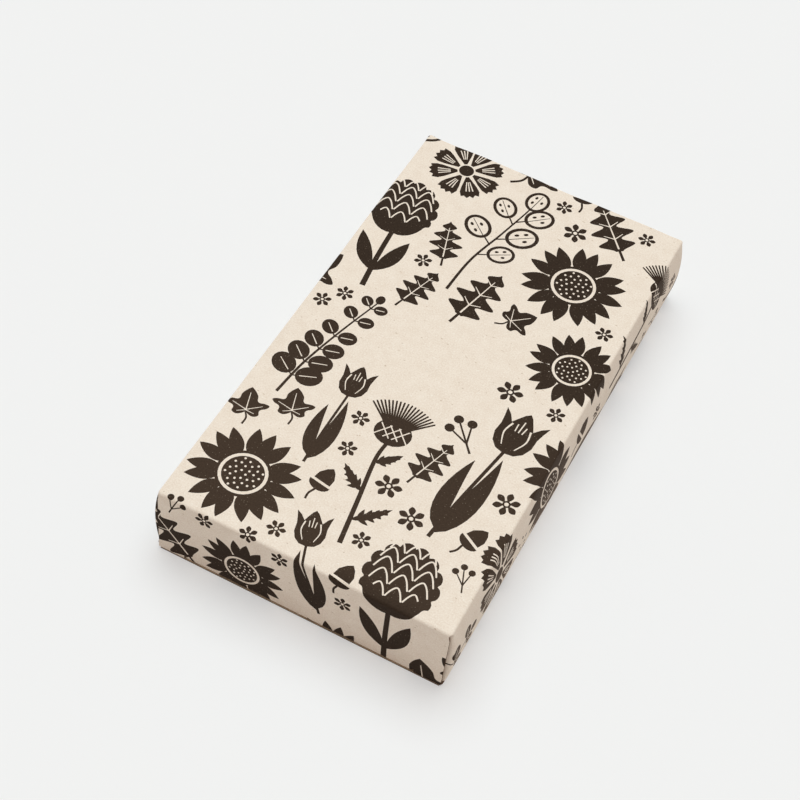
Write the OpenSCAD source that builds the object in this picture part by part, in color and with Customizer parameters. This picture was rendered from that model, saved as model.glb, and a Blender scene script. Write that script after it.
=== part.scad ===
// Hand flower press packed in its tuck-end paperboard carton.
// The origin is on the underside at the middle of the carton: +X across it, +Y along it, +Z up.
// Near is towards -Y, far towards +Y, left towards -X and right towards +X.
// The carton is sized from the press inside it and the room around it.

/* [Carton] */
// Thickness of the folded paperboard
paper_t = 0.5; // [0.35:0.05:0.7]
// How far the middle of each long wall bulges out past its folds
wall_bow = 2; // [1:0.25:3]
// Outer radius of the soft folds along and across the top, and along the bottom
fold_r = 1.2; // [0.9:0.1:1.6]
// Gap between a moving flap and the fixed board beside it
fold_gap = 0.3; // [0.25:0.05:0.4]
// Free room between the press and each long wall
side_room = 3.5; // [2.5:0.5:8]
// Free room between the press and each dust flap
end_room = 5.7; // [4.5:0.1:10]
// Free room over the wing nuts when they are fully slackened
head_room = 0.4; // [0.3:0.1:3]
// Height of the strip glued inside the left wall
glue_tab_h = 13; // [8:0.5:16]
// Thickness of the glue between the strip and the wall
glue_t = 0.05; // [0.03:0.01:0.15]
// Distance by which the glued strip stops short of each end of the wall
glue_tab_inset = 4; // [3:0.5:12]

/* [End flaps] */
// Distance of an end flap's free side edge from the long fold
flap_side_gap = 0.5; // [0.3:0.1:1.2]
// Outer radius of the fold between an end flap and its tongue
tuck_fold_r = 1; // [0.8:0.1:1.3]
// Length of the tuck tongue from its fold to its tip
tuck_l = 8.5; // [6:0.5:8.5]
// Angle by which the tongue springs up from the carton's floor
tuck_tilt = 12; // [12:0.5:14]
// Distance of the tongue's side edge from the end flap's side edge
tuck_side_gap = 2; // [1.5:0.5:5]
// Radius of the tongue's tip corners
tuck_corner_r = 5; // [3:0.5:6]
// Distance of each lock slit from the end flap's side edge
lock_inset = 11.5; // [9:0.5:16]
// Width of each lock slit
lock_slit_w = 1; // [0.6:0.1:2]
// How far each lock slit runs up past the tongue's fold
lock_slit_rise = 0.6; // [0.4:0.1:2]
// Reach of a dust flap from the long wall's fold
dust_l = 32; // [20:1:34]
// Angle by which a dust flap's upper edge drops away from the top
dust_taper = 29; // [29:1:36]
// Angle by which a dust flap's lower edge rises towards its tip
dust_rise = 3; // [3:0.5:8]
// Distance of a dust flap's lower edge over the carton's floor, at the wall
dust_floor_gap = 1.8; // [1.8:0.1:3]
// Gap between a dust flap and the inside of the long wall
dust_wall_gap = 0.4; // [0.35:0.05:0.6]
// Radius of a dust flap's tip corners
dust_corner_r = 3; // [1:0.5:4]

/* [Press boards] */
// Width of the plywood boards
board_w = 112; // [90:1:150]
// Length of the plywood boards
board_l = 208; // [150:1:260]
// Thickness of each plywood board
board_t = 5; // [4:0.5:9]
// Radius of the boards' corners
board_corner_r = 6; // [3:0.5:10]
// Distance of each bolt from the boards' two nearest edges
bolt_inset = 11; // [9:0.5:16]
// Gap round a bolt in the boards and in its washer
bolt_hole_gap = 0.3; // [0.2:0.05:0.6]

/* [Bolts and wing nuts] */
// Diameter of the bolts
bolt_d = 5; // [4:0.5:6]
// Pitch of the bolts' thread
bolt_pitch = 0.8; // [0.7:0.05:1]
// How far a bolt stands out of its slackened nut's boss
bolt_stand = 0.9; // [0.5:0.1:3]
// Diameter of the bolts' domed heads
bolt_head_d = 13; // [10:0.5:15]
// Height of the domed heads, on which the press stands
bolt_head_h = 3; // [3:0.1:4]
// How much the middle of each dome is flattened
bolt_head_flat = 0.2; // [0.1:0.05:0.5]
// Height of the square neck that keeps a bolt from turning
bolt_neck_h = 2.5; // [1.5:0.5:3.5]
// Gap round the square neck
bolt_neck_gap = 0.1; // [0.05:0.05:0.3]
// Outer diameter of the washers
washer_d = 12; // [10:0.5:16]
// Thickness of the washers
washer_t = 1; // [0.8:0.1:1.6]
// Lower diameter of a wing nut's boss
nut_boss_d = 9.5; // [8.5:0.5:11]
// Upper diameter of a wing nut's boss
nut_neck_d = 8; // [7.5:0.25:8.5]
// Height of a wing nut's boss
nut_boss_h = 4.5; // [3.5:0.5:6]
// Width of a wing nut over its wings
nut_span = 24; // [20:0.5:26]
// Height of a wing nut over its wings
nut_h = 11; // [9.5:0.5:14]
// Thickness of the wings
nut_wing_t = 2; // [1.6:0.1:2.6]
// Radius of the wings' round tips
nut_tip_r = 3; // [2.5:0.1:3.5]
// Running gap between a nut and its bolt
nut_run_gap = 0.05; // [0.03:0.01:0.1]
// Turns by which the nuts can be slackened under the carton's top
nut_turns = 2; // [1:0.5:3]

/* [Layers] */
// Number of corrugated cards
card_count = 4; // [4]
// Thickness of a corrugated card
corrugated_t = 1.3; // [1:0.1:3]
// Thickness of a corrugated card's two faces
liner_t = 0.25; // [0.2:0.05:0.4]
// Distance from one flute to the next
flute_pitch = 3.5; // [3:0.25:8]
// Width of the flute's wall, measured across the card
flute_web = 0.5; // [0.4:0.05:0.8]
// Thickness of a blotting sheet
blotter_t = 0.3; // [0.2:0.05:0.6]
// Blotting sheets between two cards
blotters_per_gap = 2; // [2]
// Distance of the layers' edges from the boards' edges
layer_inset = 2; // [1:0.5:6]
// Clear distance between a layer's cut corner and the bolt
corner_clear = 2.5; // [1.5:0.5:6]

/* [Hidden] */

// Facets of small rounds, and of the large arc that the long walls follow
$fn = 64;
bow_fn = 1440;
// Steps in an outline's rounded corner, and along a dust flap's bowed edge
corner_steps = 6;
edge_steps = 12;

// Ends and sides, as signs of Y and X
near = -1;
far = 1;
left = -1;
right = 1;

// Colours of the paperboard, wood, metal and paper
paper_colour = "#E4D9C8";
wood_colour = "#D9B98A";
metal_colour = "#B9BDC1";
corrugated_colour = "#B58E63";
blotter_colour = "#F1EEE4";

// Heights of the press, from the carton's floor up
layers_h = card_count * corrugated_t + (card_count - 1) * blotters_per_gap * blotter_t;
base_z = paper_t + bolt_head_h;
layers_z = base_z + board_t;
top_z = layers_z + layers_h;
washer_z = top_z + board_t;
nut_z = washer_z + washer_t;
nut_lift = nut_turns * bolt_pitch;
bolt_l = board_t + layers_h + board_t + washer_t + nut_boss_h + nut_lift + bolt_stand;

// The carton over its folds, and where its long walls end behind the end flaps
carton_w = board_w + 2 * side_room + 2 * paper_t;
carton_l = board_l + 2 * (end_room + paper_t + fold_gap + paper_t);
carton_h = nut_z + max(nut_h, bolt_l - (nut_z - base_z)) + nut_lift + head_room + paper_t;
wall_end = carton_l / 2 - paper_t - fold_gap;

// The arc of the long walls: its outer radius, the place of its centre, and its half chord
bow_chord = carton_h / 2 - fold_r;
bow_r = (bow_chord * bow_chord + wall_bow * wall_bow) / (2 * wall_bow);
bow_x = carton_w / 2 + wall_bow - bow_r;
bow_z = carton_h / 2;
// Distance of an arc of radius r from the middle of the carton, at height z
function arc_x(r, z) = bow_x + sqrt(r * r - (z - bow_z) * (z - bow_z));
// The arcs' places where the folds take over, which differ a little from the board's thickness
wall_in_x = arc_x(bow_r - paper_t, fold_r);
tab_r = bow_r - paper_t - glue_t;
tab_out_x = arc_x(tab_r, fold_r);
tab_in_x = arc_x(tab_r - paper_t, fold_r);

// The end flap, its tongue and its slits
flap_w = carton_w - 2 * flap_side_gap;
flap_low = paper_t + fold_gap;
slit_x = flap_w / 2 - lock_inset;
slit_h = tuck_fold_r + lock_slit_rise;
tuck_w = flap_w - 2 * tuck_side_gap;
dust_low = paper_t + dust_floor_gap;
dust_top = carton_h - fold_r - fold_gap;

// Angle at which the layers' corners are cut
corner_cut_angle = 45;
// The layers, with corners cut to clear the bolts
layer_w = board_w - 2 * layer_inset;
layer_l = board_l - 2 * layer_inset;
corner_cut = 2 * (bolt_inset - layer_inset) + (bolt_d / 2 + corner_clear) / sin(corner_cut_angle);
flute_count = floor(layer_w / flute_pitch);
flute_h = corrugated_t - 2 * liner_t;
card_step = corrugated_t + blotters_per_gap * blotter_t;

// Angles at which the wing nuts were left
near_left_nut_angle = 24;
near_right_nut_angle = -38;
far_left_nut_angle = 68;
far_right_nut_angle = 8;
// Where a wing's edges leave its round tip and its boss
wing_low_angle = -40;
wing_high_angle = 140;
wing_foot_share = 0.12;
wing_root_share = 0.3;

// Points of an arc about c from angle a to angle b
function arc(c, r, a, b, steps) =
    [for (i = [0:steps]) c + r * [cos(a + (b - a) * i / steps), sin(a + (b - a) * i / steps)]];

// Extrudes a drawing of X and Z along Y, about the middle of the carton
module along_y(length) {
    rotate([90, 0, 0]) linear_extrude(height = length, center = true) children();
}

// Extrudes a drawing of Y and Z along X, about the middle of the carton
module along_x(length) {
    rotate([90, 0, 90]) linear_extrude(height = length, center = true) children();
}

// A bent strip of board between angles a and b, drawn about its own centre
module bend(r_out, r_in, a, b) {
    intersection() {
        difference() {
            circle(r = r_out);
            circle(r = r_in);
        }
        polygon(concat([[0, 0]], arc([0, 0], 2 * r_out, a, b, 3)));
    }
}

// A bowed strip between two radii and two heights, on the right-hand side
module bowed_strip(r_out, r_in, low, high) {
    intersection() {
        translate([bow_x, bow_z])
            difference() {
                circle(r = r_out, $fn = bow_fn);
                circle(r = r_in, $fn = bow_fn);
            }
        translate([0, low]) square([carton_w, high - low]);
    }
}

// A fold between a panel and a bowed wall, in the corner whose outer face is at x
module long_fold(x, x_in, r, low) {
    up = low ? r : carton_h - r;
    translate([x - r, up]) bend(r, r - (x - x_in), low ? -90 : 0, low ? 0 : 90);
}

// The flat top with its soft folds at the two ends, from which the end flaps hang
module carton_top_panel() {
    color(paper_colour) {
        translate([fold_r - carton_w / 2, fold_r - carton_l / 2, carton_h - paper_t])
            cube([carton_w - 2 * fold_r, carton_l - 2 * fold_r, paper_t]);
        for (end = [near, far])
            mirror([0, end > 0 ? 1 : 0, 0])
                along_x(carton_w - 2 * fold_r)
                    translate([fold_r - carton_l / 2, carton_h - fold_r])
                        bend(fold_r, fold_r - paper_t, 90, 180);
    }
}

// The flat underside, whose cut ends show under the end flaps
module carton_bottom_panel() {
    color(paper_colour)
        translate([fold_r - carton_w / 2, -carton_l / 2, 0])
            cube([carton_w - 2 * fold_r, carton_l, paper_t]);
}

// The right wall, folded from the top panel and to the bottom panel
module carton_right_wall() {
    color(paper_colour)
        along_y(2 * wall_end) {
            bowed_strip(bow_r, bow_r - paper_t, fold_r, carton_h - fold_r);
            long_fold(carton_w / 2, wall_in_x, fold_r, true);
            long_fold(carton_w / 2, wall_in_x, fold_r, false);
        }
}

// The left wall, folded from the top panel, with its cut lower edge standing beside the glued strip
module carton_left_wall() {
    color(paper_colour)
        mirror([1, 0, 0])
            along_y(2 * wall_end) {
                bowed_strip(bow_r, bow_r - paper_t, fold_r, carton_h - fold_r);
                long_fold(carton_w / 2, wall_in_x, fold_r, false);
                translate([wall_in_x, 0]) square([carton_w / 2 - wall_in_x, fold_r]);
            }
}

// The strip folded up from the bottom panel and glued inside the left wall
module carton_glue_tab() {
    tab_fold_r = tab_out_x - (carton_w / 2 - fold_r);
    color(paper_colour)
        mirror([1, 0, 0])
            along_y(2 * (wall_end - glue_tab_inset)) {
                bowed_strip(tab_r, tab_r - paper_t, fold_r, glue_tab_h);
                translate([tab_in_x, tab_fold_r]) square([tab_out_x - tab_in_x, fold_r - tab_fold_r]);
                translate([tab_out_x - tab_fold_r, tab_fold_r])
                    bend(tab_fold_r, tab_fold_r - (tab_out_x - tab_in_x), -90, 0);
            }
}

// Half of the end flap's outline, from its middle to its right side edge
function flap_half(side) = [
    [side * (slit_x - lock_slit_w / 2), flap_low + tuck_fold_r],
    [side * (slit_x - lock_slit_w / 2), flap_low + slit_h],
    [side * (slit_x + lock_slit_w / 2), flap_low + slit_h],
    [side * (slit_x + lock_slit_w / 2), flap_low],
    [side * flap_w / 2, flap_low],
    [side * flap_w / 2, carton_h - fold_r]];

function reversed(list) = [for (i = [len(list) - 1:-1:0]) list[i]];

// The near end flap: a panel, its lock slits, and the fold that leads to the tongue
module end_flap() {
    color(paper_colour) {
        translate([0, paper_t - carton_l / 2, 0])
            rotate([90, 0, 0])
                linear_extrude(height = paper_t)
                    polygon(concat(flap_half(right), reversed(flap_half(left))));
        along_x(2 * slit_x - lock_slit_w)
            translate([tuck_fold_r - carton_l / 2, flap_low + tuck_fold_r])
                bend(tuck_fold_r, tuck_fold_r - paper_t, 180, 270 + tuck_tilt);
    }
}

// The near tuck tongue, which leaves its fold at the angle to which it springs up
module tuck_tongue() {
    half = tuck_w / 2;
    color(paper_colour)
        translate([0, tuck_fold_r * (1 + sin(tuck_tilt)) - carton_l / 2,
                   flap_low + tuck_fold_r * (1 - cos(tuck_tilt))])
            rotate([tuck_tilt, 0, 0])
                linear_extrude(height = paper_t)
                    polygon(concat(
                        [[-half, 0], [half, 0]],
                        arc([half - tuck_corner_r, tuck_l - tuck_corner_r], tuck_corner_r, 0, 90, corner_steps),
                        arc([tuck_corner_r - half, tuck_l - tuck_corner_r], tuck_corner_r, 90, 180, corner_steps)));
}

// The near right dust flap, which hangs from the wall's end with its base following the wall's bow
module dust_flap() {
    tip_x = carton_w / 2 - dust_l;
    tip_top = dust_top - dust_l * tan(dust_taper);
    tip_low = dust_low + dust_l * tan(dust_rise);
    color(paper_colour)
        translate([0, paper_t - wall_end, 0])
            rotate([90, 0, 0])
                linear_extrude(height = paper_t)
                    polygon(concat(
                        [for (i = [0:edge_steps])
                            let (z = dust_low + (dust_top - dust_low) * i / edge_steps)
                                [arc_x(bow_r - paper_t, z) - dust_wall_gap, z]],
                        [[tip_x + dust_corner_r, tip_top + dust_corner_r * tan(dust_taper)],
                         [tip_x, tip_top - dust_corner_r],
                         [tip_x, tip_low + dust_corner_r],
                         [tip_x + dust_corner_r, tip_low - dust_corner_r * tan(dust_rise)]]));
}

// Puts a near part at either end, and a right part on either side
module placed(end, side = right) {
    mirror([0, end > 0 ? 1 : 0, 0]) mirror([side < 0 ? 1 : 0, 0, 0]) children();
}

// The outline of a board with round corners
module board_outline() {
    square([board_w - 2 * board_corner_r, board_l], center = true);
    square([board_w, board_l - 2 * board_corner_r], center = true);
    for (x = [left, right], y = [near, far])
        translate([x * (board_w / 2 - board_corner_r), y * (board_l / 2 - board_corner_r)])
            circle(r = board_corner_r);
}

// Puts a part on the axis of one bolt
module at_bolt(end, side, z) {
    translate([side * (board_w / 2 - bolt_inset), end * (board_l / 2 - bolt_inset), z]) children();
}

// The lower board, with a square pocket round each bolt's neck
module base_board() {
    neck_w = bolt_d + 2 * bolt_neck_gap;
    color(wood_colour)
        difference() {
            translate([0, 0, base_z]) linear_extrude(height = board_t) board_outline();
            for (x = [left, right], y = [near, far])
                at_bolt(y, x, base_z) {
                    translate([0, 0, -board_t]) cylinder(d = bolt_d + 2 * bolt_hole_gap, h = 3 * board_t);
                    translate([-neck_w / 2, -neck_w / 2, -board_t])
                        cube([neck_w, neck_w, board_t + bolt_neck_h + bolt_neck_gap]);
                }
        }
}

// The upper board, which the wing nuts press down
module top_board() {
    color(wood_colour)
        difference() {
            translate([0, 0, top_z]) linear_extrude(height = board_t) board_outline();
            for (x = [left, right], y = [near, far])
                at_bolt(y, x, top_z - board_t) cylinder(d = bolt_d + 2 * bolt_hole_gap, h = 3 * board_t);
        }
}

// A coach bolt: a flattened dome under the board, a square neck in it, and a shank with a bevelled end
module bolt(end, side) {
    dome_h = bolt_head_h + bolt_head_flat;
    dome_r = (bolt_head_d * bolt_head_d / 4 + dome_h * dome_h) / (2 * dome_h);
    bevel = bolt_pitch / 2;
    color(metal_colour)
        at_bolt(end, side, base_z) {
            intersection() {
                translate([0, 0, dome_r - dome_h]) sphere(r = dome_r, $fn = 2 * $fn);
                translate([0, 0, -bolt_head_h]) cylinder(d = bolt_head_d, h = bolt_head_h);
            }
            translate([-bolt_d / 2, -bolt_d / 2, 0]) cube([bolt_d, bolt_d, bolt_neck_h]);
            cylinder(d = bolt_d, h = bolt_l - bevel);
            translate([0, 0, bolt_l - bevel]) cylinder(d1 = bolt_d, d2 = bolt_d - 2 * bevel, h = bevel);
        }
}

// A flat washer between the board and a wing nut
module washer(end, side) {
    color(metal_colour)
        at_bolt(end, side, washer_z)
            difference() {
                cylinder(d = washer_d, h = washer_t);
                translate([0, 0, -washer_t]) cylinder(d = bolt_d + 2 * bolt_hole_gap, h = 3 * washer_t);
            }
}

// One wing, drawn in X and Z: a web from the boss to a round tip
module wing_outline() {
    tip = [nut_span / 2 - nut_tip_r, nut_h - nut_tip_r];
    wall = (nut_neck_d - bolt_d) / 2;
    translate(tip) circle(r = nut_tip_r);
    polygon([
        [nut_neck_d / 2, wing_foot_share * nut_boss_h],
        tip + nut_tip_r * [cos(wing_low_angle), sin(wing_low_angle)],
        tip + nut_tip_r * [cos(wing_high_angle), sin(wing_high_angle)],
        [nut_neck_d / 2 - wing_root_share * wall, nut_boss_h],
        [nut_neck_d / 2 - wing_root_share * wall, wing_foot_share * nut_boss_h]]);
}

// A wing nut: a tapered boss with two wings that stand up and out
module wing_nut(end, side, angle) {
    color(metal_colour)
        at_bolt(end, side, nut_z)
            rotate([0, 0, angle])
                difference() {
                    union() {
                        cylinder(d1 = nut_boss_d, d2 = nut_neck_d, h = nut_boss_h);
                        for (turn = [0, 180])
                            rotate([0, 0, turn]) along_y(nut_wing_t) wing_outline();
                    }
                    translate([0, 0, -nut_boss_h]) cylinder(d = bolt_d + 2 * nut_run_gap, h = 3 * nut_boss_h);
                }
}

// The outline of a layer, with its corners cut across
module layer_outline() {
    w = layer_w / 2;
    l = layer_l / 2;
    polygon([
        [w, l - corner_cut], [w - corner_cut, l], [corner_cut - w, l], [-w, l - corner_cut],
        [-w, corner_cut - l], [corner_cut - w, -l], [w - corner_cut, -l], [w, corner_cut - l]]);
}

// One hollow of a flute, with its base on one face of the card
module flute_hollow() {
    polygon([
        [flute_web / 2, 0], [flute_pitch - flute_web / 2, 0],
        [flute_pitch / 2, flute_h * (1 - flute_web / flute_pitch)]]);
}

// A corrugated card: two faces with a zigzag wall between them, open at the two ends
module corrugated_card(number) {
    color(corrugated_colour)
        translate([0, 0, layers_z + (number - 1) * card_step])
            intersection() {
                along_y(layer_l)
                    difference() {
                        translate([-layer_w / 2, 0]) square([layer_w, corrugated_t]);
                        for (i = [0:flute_count - 1])
                            translate([flute_pitch * (i - flute_count / 2), liner_t]) flute_hollow();
                        for (i = [0:flute_count - 2])
                            translate([flute_pitch * (i + 1 / 2 - flute_count / 2), corrugated_t - liner_t])
                                mirror([0, 1]) flute_hollow();
                    }
                linear_extrude(height = corrugated_t) layer_outline();
            }
}

// A sheet of blotting paper, in a pair between two cards
module blotting_sheet(number) {
    gap = floor((number - 1) / blotters_per_gap);
    in_gap = number - 1 - gap * blotters_per_gap;
    color(blotter_colour)
        translate([0, 0, layers_z + gap * card_step + corrugated_t + in_gap * blotter_t])
            linear_extrude(height = blotter_t) layer_outline();
}

carton_top_panel();
carton_bottom_panel();
carton_left_wall();
carton_right_wall();
carton_glue_tab();
placed(near) end_flap();  // near_end_flap
placed(near) tuck_tongue();  // near_tuck_tongue
placed(near, left) dust_flap();  // near_left_dust_flap
placed(near, right) dust_flap();  // near_right_dust_flap
placed(far) end_flap();  // far_end_flap
placed(far) tuck_tongue();  // far_tuck_tongue
placed(far, left) dust_flap();  // far_left_dust_flap
placed(far, right) dust_flap();  // far_right_dust_flap
base_board();
top_board();
bolt(near, left);  // bolt_near_left
bolt(near, right);  // bolt_near_right
bolt(far, left);  // bolt_far_left
bolt(far, right);  // bolt_far_right
washer(near, left);  // washer_near_left
washer(near, right);  // washer_near_right
washer(far, left);  // washer_far_left
washer(far, right);  // washer_far_right
wing_nut(near, left, near_left_nut_angle);  // wing_nut_near_left
wing_nut(near, right, near_right_nut_angle);  // wing_nut_near_right
wing_nut(far, left, far_left_nut_angle);  // wing_nut_far_left
wing_nut(far, right, far_right_nut_angle);  // wing_nut_far_right
corrugated_card(1);  // corrugated_card_1
corrugated_card(2);  // corrugated_card_2
corrugated_card(3);  // corrugated_card_3
corrugated_card(4);  // corrugated_card_4
blotting_sheet(1);  // blotting_sheet_1
blotting_sheet(2);  // blotting_sheet_2
blotting_sheet(3);  // blotting_sheet_3
blotting_sheet(4);  // blotting_sheet_4
blotting_sheet(5);  // blotting_sheet_5
blotting_sheet(6);  // blotting_sheet_6
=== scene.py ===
# %% [markdown]
# # A flower press, shut in its printed carton
# The photograph looks down on a slim carton of recycled paperboard, printed all over with plants in
# one dark ink. The press lies inside it: two plywood boards, four bolts with wing nuts, corrugated
# cards and blotting paper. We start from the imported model, which already has every piece in its
# place, and give each one the surface and the small forms that the real one shows.

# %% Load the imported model
import math
import random
from math import asin, copysign, cos, dist, exp, pi, radians, sin, sqrt, tan

import bpy
import numpy as np
from mathutils import Matrix, Vector
from mathutils.geometry import delaunay_2d_cdt


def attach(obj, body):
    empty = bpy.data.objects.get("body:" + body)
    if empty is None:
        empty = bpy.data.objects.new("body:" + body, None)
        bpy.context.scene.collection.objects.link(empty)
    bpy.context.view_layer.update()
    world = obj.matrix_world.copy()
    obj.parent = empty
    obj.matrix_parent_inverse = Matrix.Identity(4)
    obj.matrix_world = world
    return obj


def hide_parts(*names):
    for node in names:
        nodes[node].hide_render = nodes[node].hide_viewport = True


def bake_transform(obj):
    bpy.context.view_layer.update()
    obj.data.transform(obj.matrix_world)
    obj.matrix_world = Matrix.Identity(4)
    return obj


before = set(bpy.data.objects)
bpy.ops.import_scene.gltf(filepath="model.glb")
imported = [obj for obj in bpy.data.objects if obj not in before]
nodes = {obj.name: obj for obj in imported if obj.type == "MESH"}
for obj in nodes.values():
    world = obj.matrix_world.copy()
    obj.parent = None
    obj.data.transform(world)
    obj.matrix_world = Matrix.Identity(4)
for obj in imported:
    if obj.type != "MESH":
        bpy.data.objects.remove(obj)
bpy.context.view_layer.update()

MM = 0.001


def put_in(name, data):
    """Puts an object into the scene."""
    thing = bpy.data.objects.new(name, data)
    bpy.context.scene.collection.objects.link(thing)
    return thing


def new_mesh(name, points, faces, *materials):
    """A mesh with its materials in order."""
    mesh = bpy.data.meshes.new(name)
    mesh.from_pydata(points, [], faces)
    for material in materials:
        mesh.materials.append(material)
    return mesh


# %% [markdown]
# ## The camera
# A long lens was used from about 0.7 m away, well above the carton and a little to its right. The
# camera was also tilted about its own axis, so the carton's upright edges lean in the picture. We
# place it by angles round the carton, which is how a photographer would describe it.

# %% Camera
azimuth, elevation, roll = (radians(a) for a in (20.89, 51.46, 8.10))
back = Vector((sin(azimuth) * cos(elevation), -cos(azimuth) * cos(elevation),
               sin(elevation)))
right = Vector((0, 0, 1)).cross(back).normalized()
up = back.cross(right)
tilted_right = cos(roll) * right + sin(roll) * up
tilted_up = cos(roll) * up - sin(roll) * right
camera = put_in("camera", bpy.data.cameras.new("camera"))
camera.data.lens = 80.82         # mm
camera.data.clip_start = 0.02    # m
AIM, AWAY = Vector((-0.01356, -0.00096, 0)), 0.7314      # metres: where it looks, and from how far
place = AIM + AWAY * back
camera.matrix_world = Matrix((
    (tilted_right.x, tilted_up.x, back.x, place.x),
    (tilted_right.y, tilted_up.y, back.y, place.y),
    (tilted_right.z, tilted_up.z, back.z, place.z),
    (0, 0, 0, 1)))
bpy.context.scene.camera = camera
print("camera stands at", [round(x, 3) for x in place])

# %% [markdown]
# ## Colours and nodes
# Colours are written as the hex values that a picture editor shows. Blender's shaders work in linear
# light, so one function turns a hex value into linear numbers. A second function adds a node, sets
# its options and either links or sets its inputs, so that a material reads as a short list. Two
# nodes do most of the work. Map Range (value, from low, from high, to low, to high: sockets 0 to 4)
# turns a pattern's middle range into a share, and Mix blends two colours (sockets 6 and 7) by it.

# %% Helpers for materials
def linear(code):
    """A hex colour in linear light."""
    parts = [int(code[i:i + 2], 16) / 255 for i in (1, 3, 5)]
    return (*[c / 12.92 if c <= 0.04045 else ((c + 0.055) / 1.055) ** 2.4 for c in parts], 1.0)


def add(material, kind, inputs=None, **options):
    """Adds a node with its options, and links or sets its inputs."""
    tree = material.node_tree
    node = tree.nodes.new("ShaderNode" + kind)
    for key, value in options.items():
        setattr(node, key, value)
    for key, value in (inputs or {}).items():
        if isinstance(value, bpy.types.Node):
            value = value.outputs[2] if value.bl_idname == "ShaderNodeMix" else value.outputs[0]
        if isinstance(value, bpy.types.NodeSocket):
            tree.links.new(value, node.inputs[key])
        else:
            node.inputs[key].default_value = value
    return node


def new_material(name, roughness, **settings):
    """A material with its shader node, whose constant settings go straight on its sockets."""
    material = bpy.data.materials.new(name)
    material.use_nodes = True
    shader = material.node_tree.nodes["Principled BSDF"]
    shader.inputs["Roughness"].default_value = roughness
    for key, value in settings.items():
        shader.inputs[key.replace("_", " ").title().replace("Ior", "IOR")].default_value = value
    return material, shader


def feed(material, shader, **links):
    """Links nodes to the shader's inputs."""
    for key, value in links.items():
        out = value.outputs[2] if value.bl_idname == "ShaderNodeMix" else value.outputs[0]
        material.node_tree.links.new(out, shader.inputs[key.replace("_", " ").title()])


print("colour check: mid grey is", round(linear("#808080")[0], 3), "in linear light")

# %% [markdown]
# ## The paperboard
# The carton is cut from recycled, uncoated paperboard: a matt, warm off-white made of short fibres,
# with darker and paler flecks where a fibre of another kind was caught. Its flat blank gets a map in
# which one unit is 400 mm, so every pattern below is scaled from real millimetres on the blank and
# bends with the board. The flecks are stretched cells of a Voronoi pattern, kept only near the
# middle of a cell, and turned three ways so that they lie about as fibres do.

# %% Fibres in the board
BLANK_MM, BLANK_SHIFT = 400.0, 0.4      # mm to one unit of the blank's map, and where its middle lies
# a cell holds one fibre, about 0.8 mm long and 0.35 mm wide, as fine as the picture can show
CELL_LONG, CELL_WIDE = 3.4, 1.5         # mm
FIBRES = ((20, 0.30), (105, 0.24), (62, 0.18))      # turn in degrees, and share of the cells in use


def fleck_layer(material, blank, turn, amount):
    """Short fibres lying one way. Returns a mask, and a random value for each fibre."""
    turned = add(material, "Mapping", {"Vector": blank, "Rotation": (0, 0, radians(turn)),
                                       "Scale": (BLANK_MM / CELL_LONG, BLANK_MM / CELL_WIDE, 1)})
    bent = add(material, "TexNoise", {"Vector": turned, "Scale": 0.7, "Detail": 1.0})
    wavy = add(material, "VectorMath", {0: turned, 1: bent.outputs["Color"]}, operation="ADD")
    cells = add(material, "TexVoronoi", {"Vector": wavy, "Scale": 1.0})
    near = add(material, "MapRange", {0: cells.outputs["Distance"], 1: 0.16, 2: 0.08})
    pick = add(material, "SeparateColor", {0: cells.outputs["Color"]})
    chosen = add(material, "MapRange", {0: pick.outputs[0], 1: amount + 0.02, 2: amount})
    mask = add(material, "Math", {0: near, 1: chosen}, operation="MULTIPLY")
    return mask, pick.outputs[1]


def fibrous_colour(material, blank, base, pale, dark):
    """The board's colour: cloudy pulp with pale and dark fibres in it."""
    # pulp settles in clouds of about 5 mm, and grains of about 0.6 mm
    cloud = add(material, "TexNoise", {"Vector": blank, "Scale": BLANK_MM / 5, "Detail": 3.0})
    grain = add(material, "TexNoise", {"Vector": blank, "Scale": BLANK_MM / 0.6, "Detail": 2.0})
    tone = base
    for pattern, low, high, most, other in (
            (cloud, 0.3, 0.7, 0.5, dark), (grain, 0.5, 0.7, 0.76, pale),
            (grain, 0.45, 0.28, 0.76, dark)):
        share = add(material, "MapRange", {0: pattern, 1: low, 2: high, 4: most})
        tone = add(material, "Mix", {0: share, 6: tone, 7: other}, data_type="RGBA")
    for turn, amount in FIBRES:
        mask, pick = fleck_layer(material, blank, turn, amount)
        is_pale = add(material, "MapRange", {0: pick, 1: 0.45, 2: 0.55})
        shade = add(material, "Mix", {0: is_pale, 6: linear("#B79F84"), 7: linear("#F7F1E6")},
                    data_type="RGBA")
        mask = add(material, "Math", {0: mask, 1: 0.7}, operation="MULTIPLY")
        tone = add(material, "Mix", {0: mask, 6: tone, 7: shade}, data_type="RGBA")
    return tone, grain


print("fibres lie in", len(FIBRES), "layers")


# %% Recycled paperboard
def board_face(name, roughness, level, tooth_mm, base, pale, dark):
    """One face of the board: pulp and fibres, and the faint tooth of uncoated board."""
    material, shader = new_material(name, roughness, specular_ior_level=level)
    blank = add(material, "UVMap", uv_map="blank")
    tone, grain = fibrous_colour(material, blank, base, pale, dark)
    tooth = add(material, "Bump", {"Height": grain, "Strength": 0.35, "Distance": tooth_mm * MM})
    feed(material, shader, base_color=tone, normal=tooth)
    print(f"{name}: {len(material.node_tree.nodes)} nodes")
    return material


paperboard = board_face("recycled_paperboard", 0.9, 0.3, 0.06, linear("#EEE1D2"), linear("#F5EBDE"),
                        linear("#E1D0BE"))

# %% [markdown]
# ## The ink
# The plants are printed in one brown-black ink. Offset ink sinks into uncoated board, so it is nearly
# as matt as the board and gives hardly any highlight. Dried ink over rough fibre catches light that
# skims it, which is why the print on the right wall looks paler than on the top; a faint warm sheen
# does that. Where a fibre stood up or sank, the ink missed, which leaves tiny pale specks.

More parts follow.
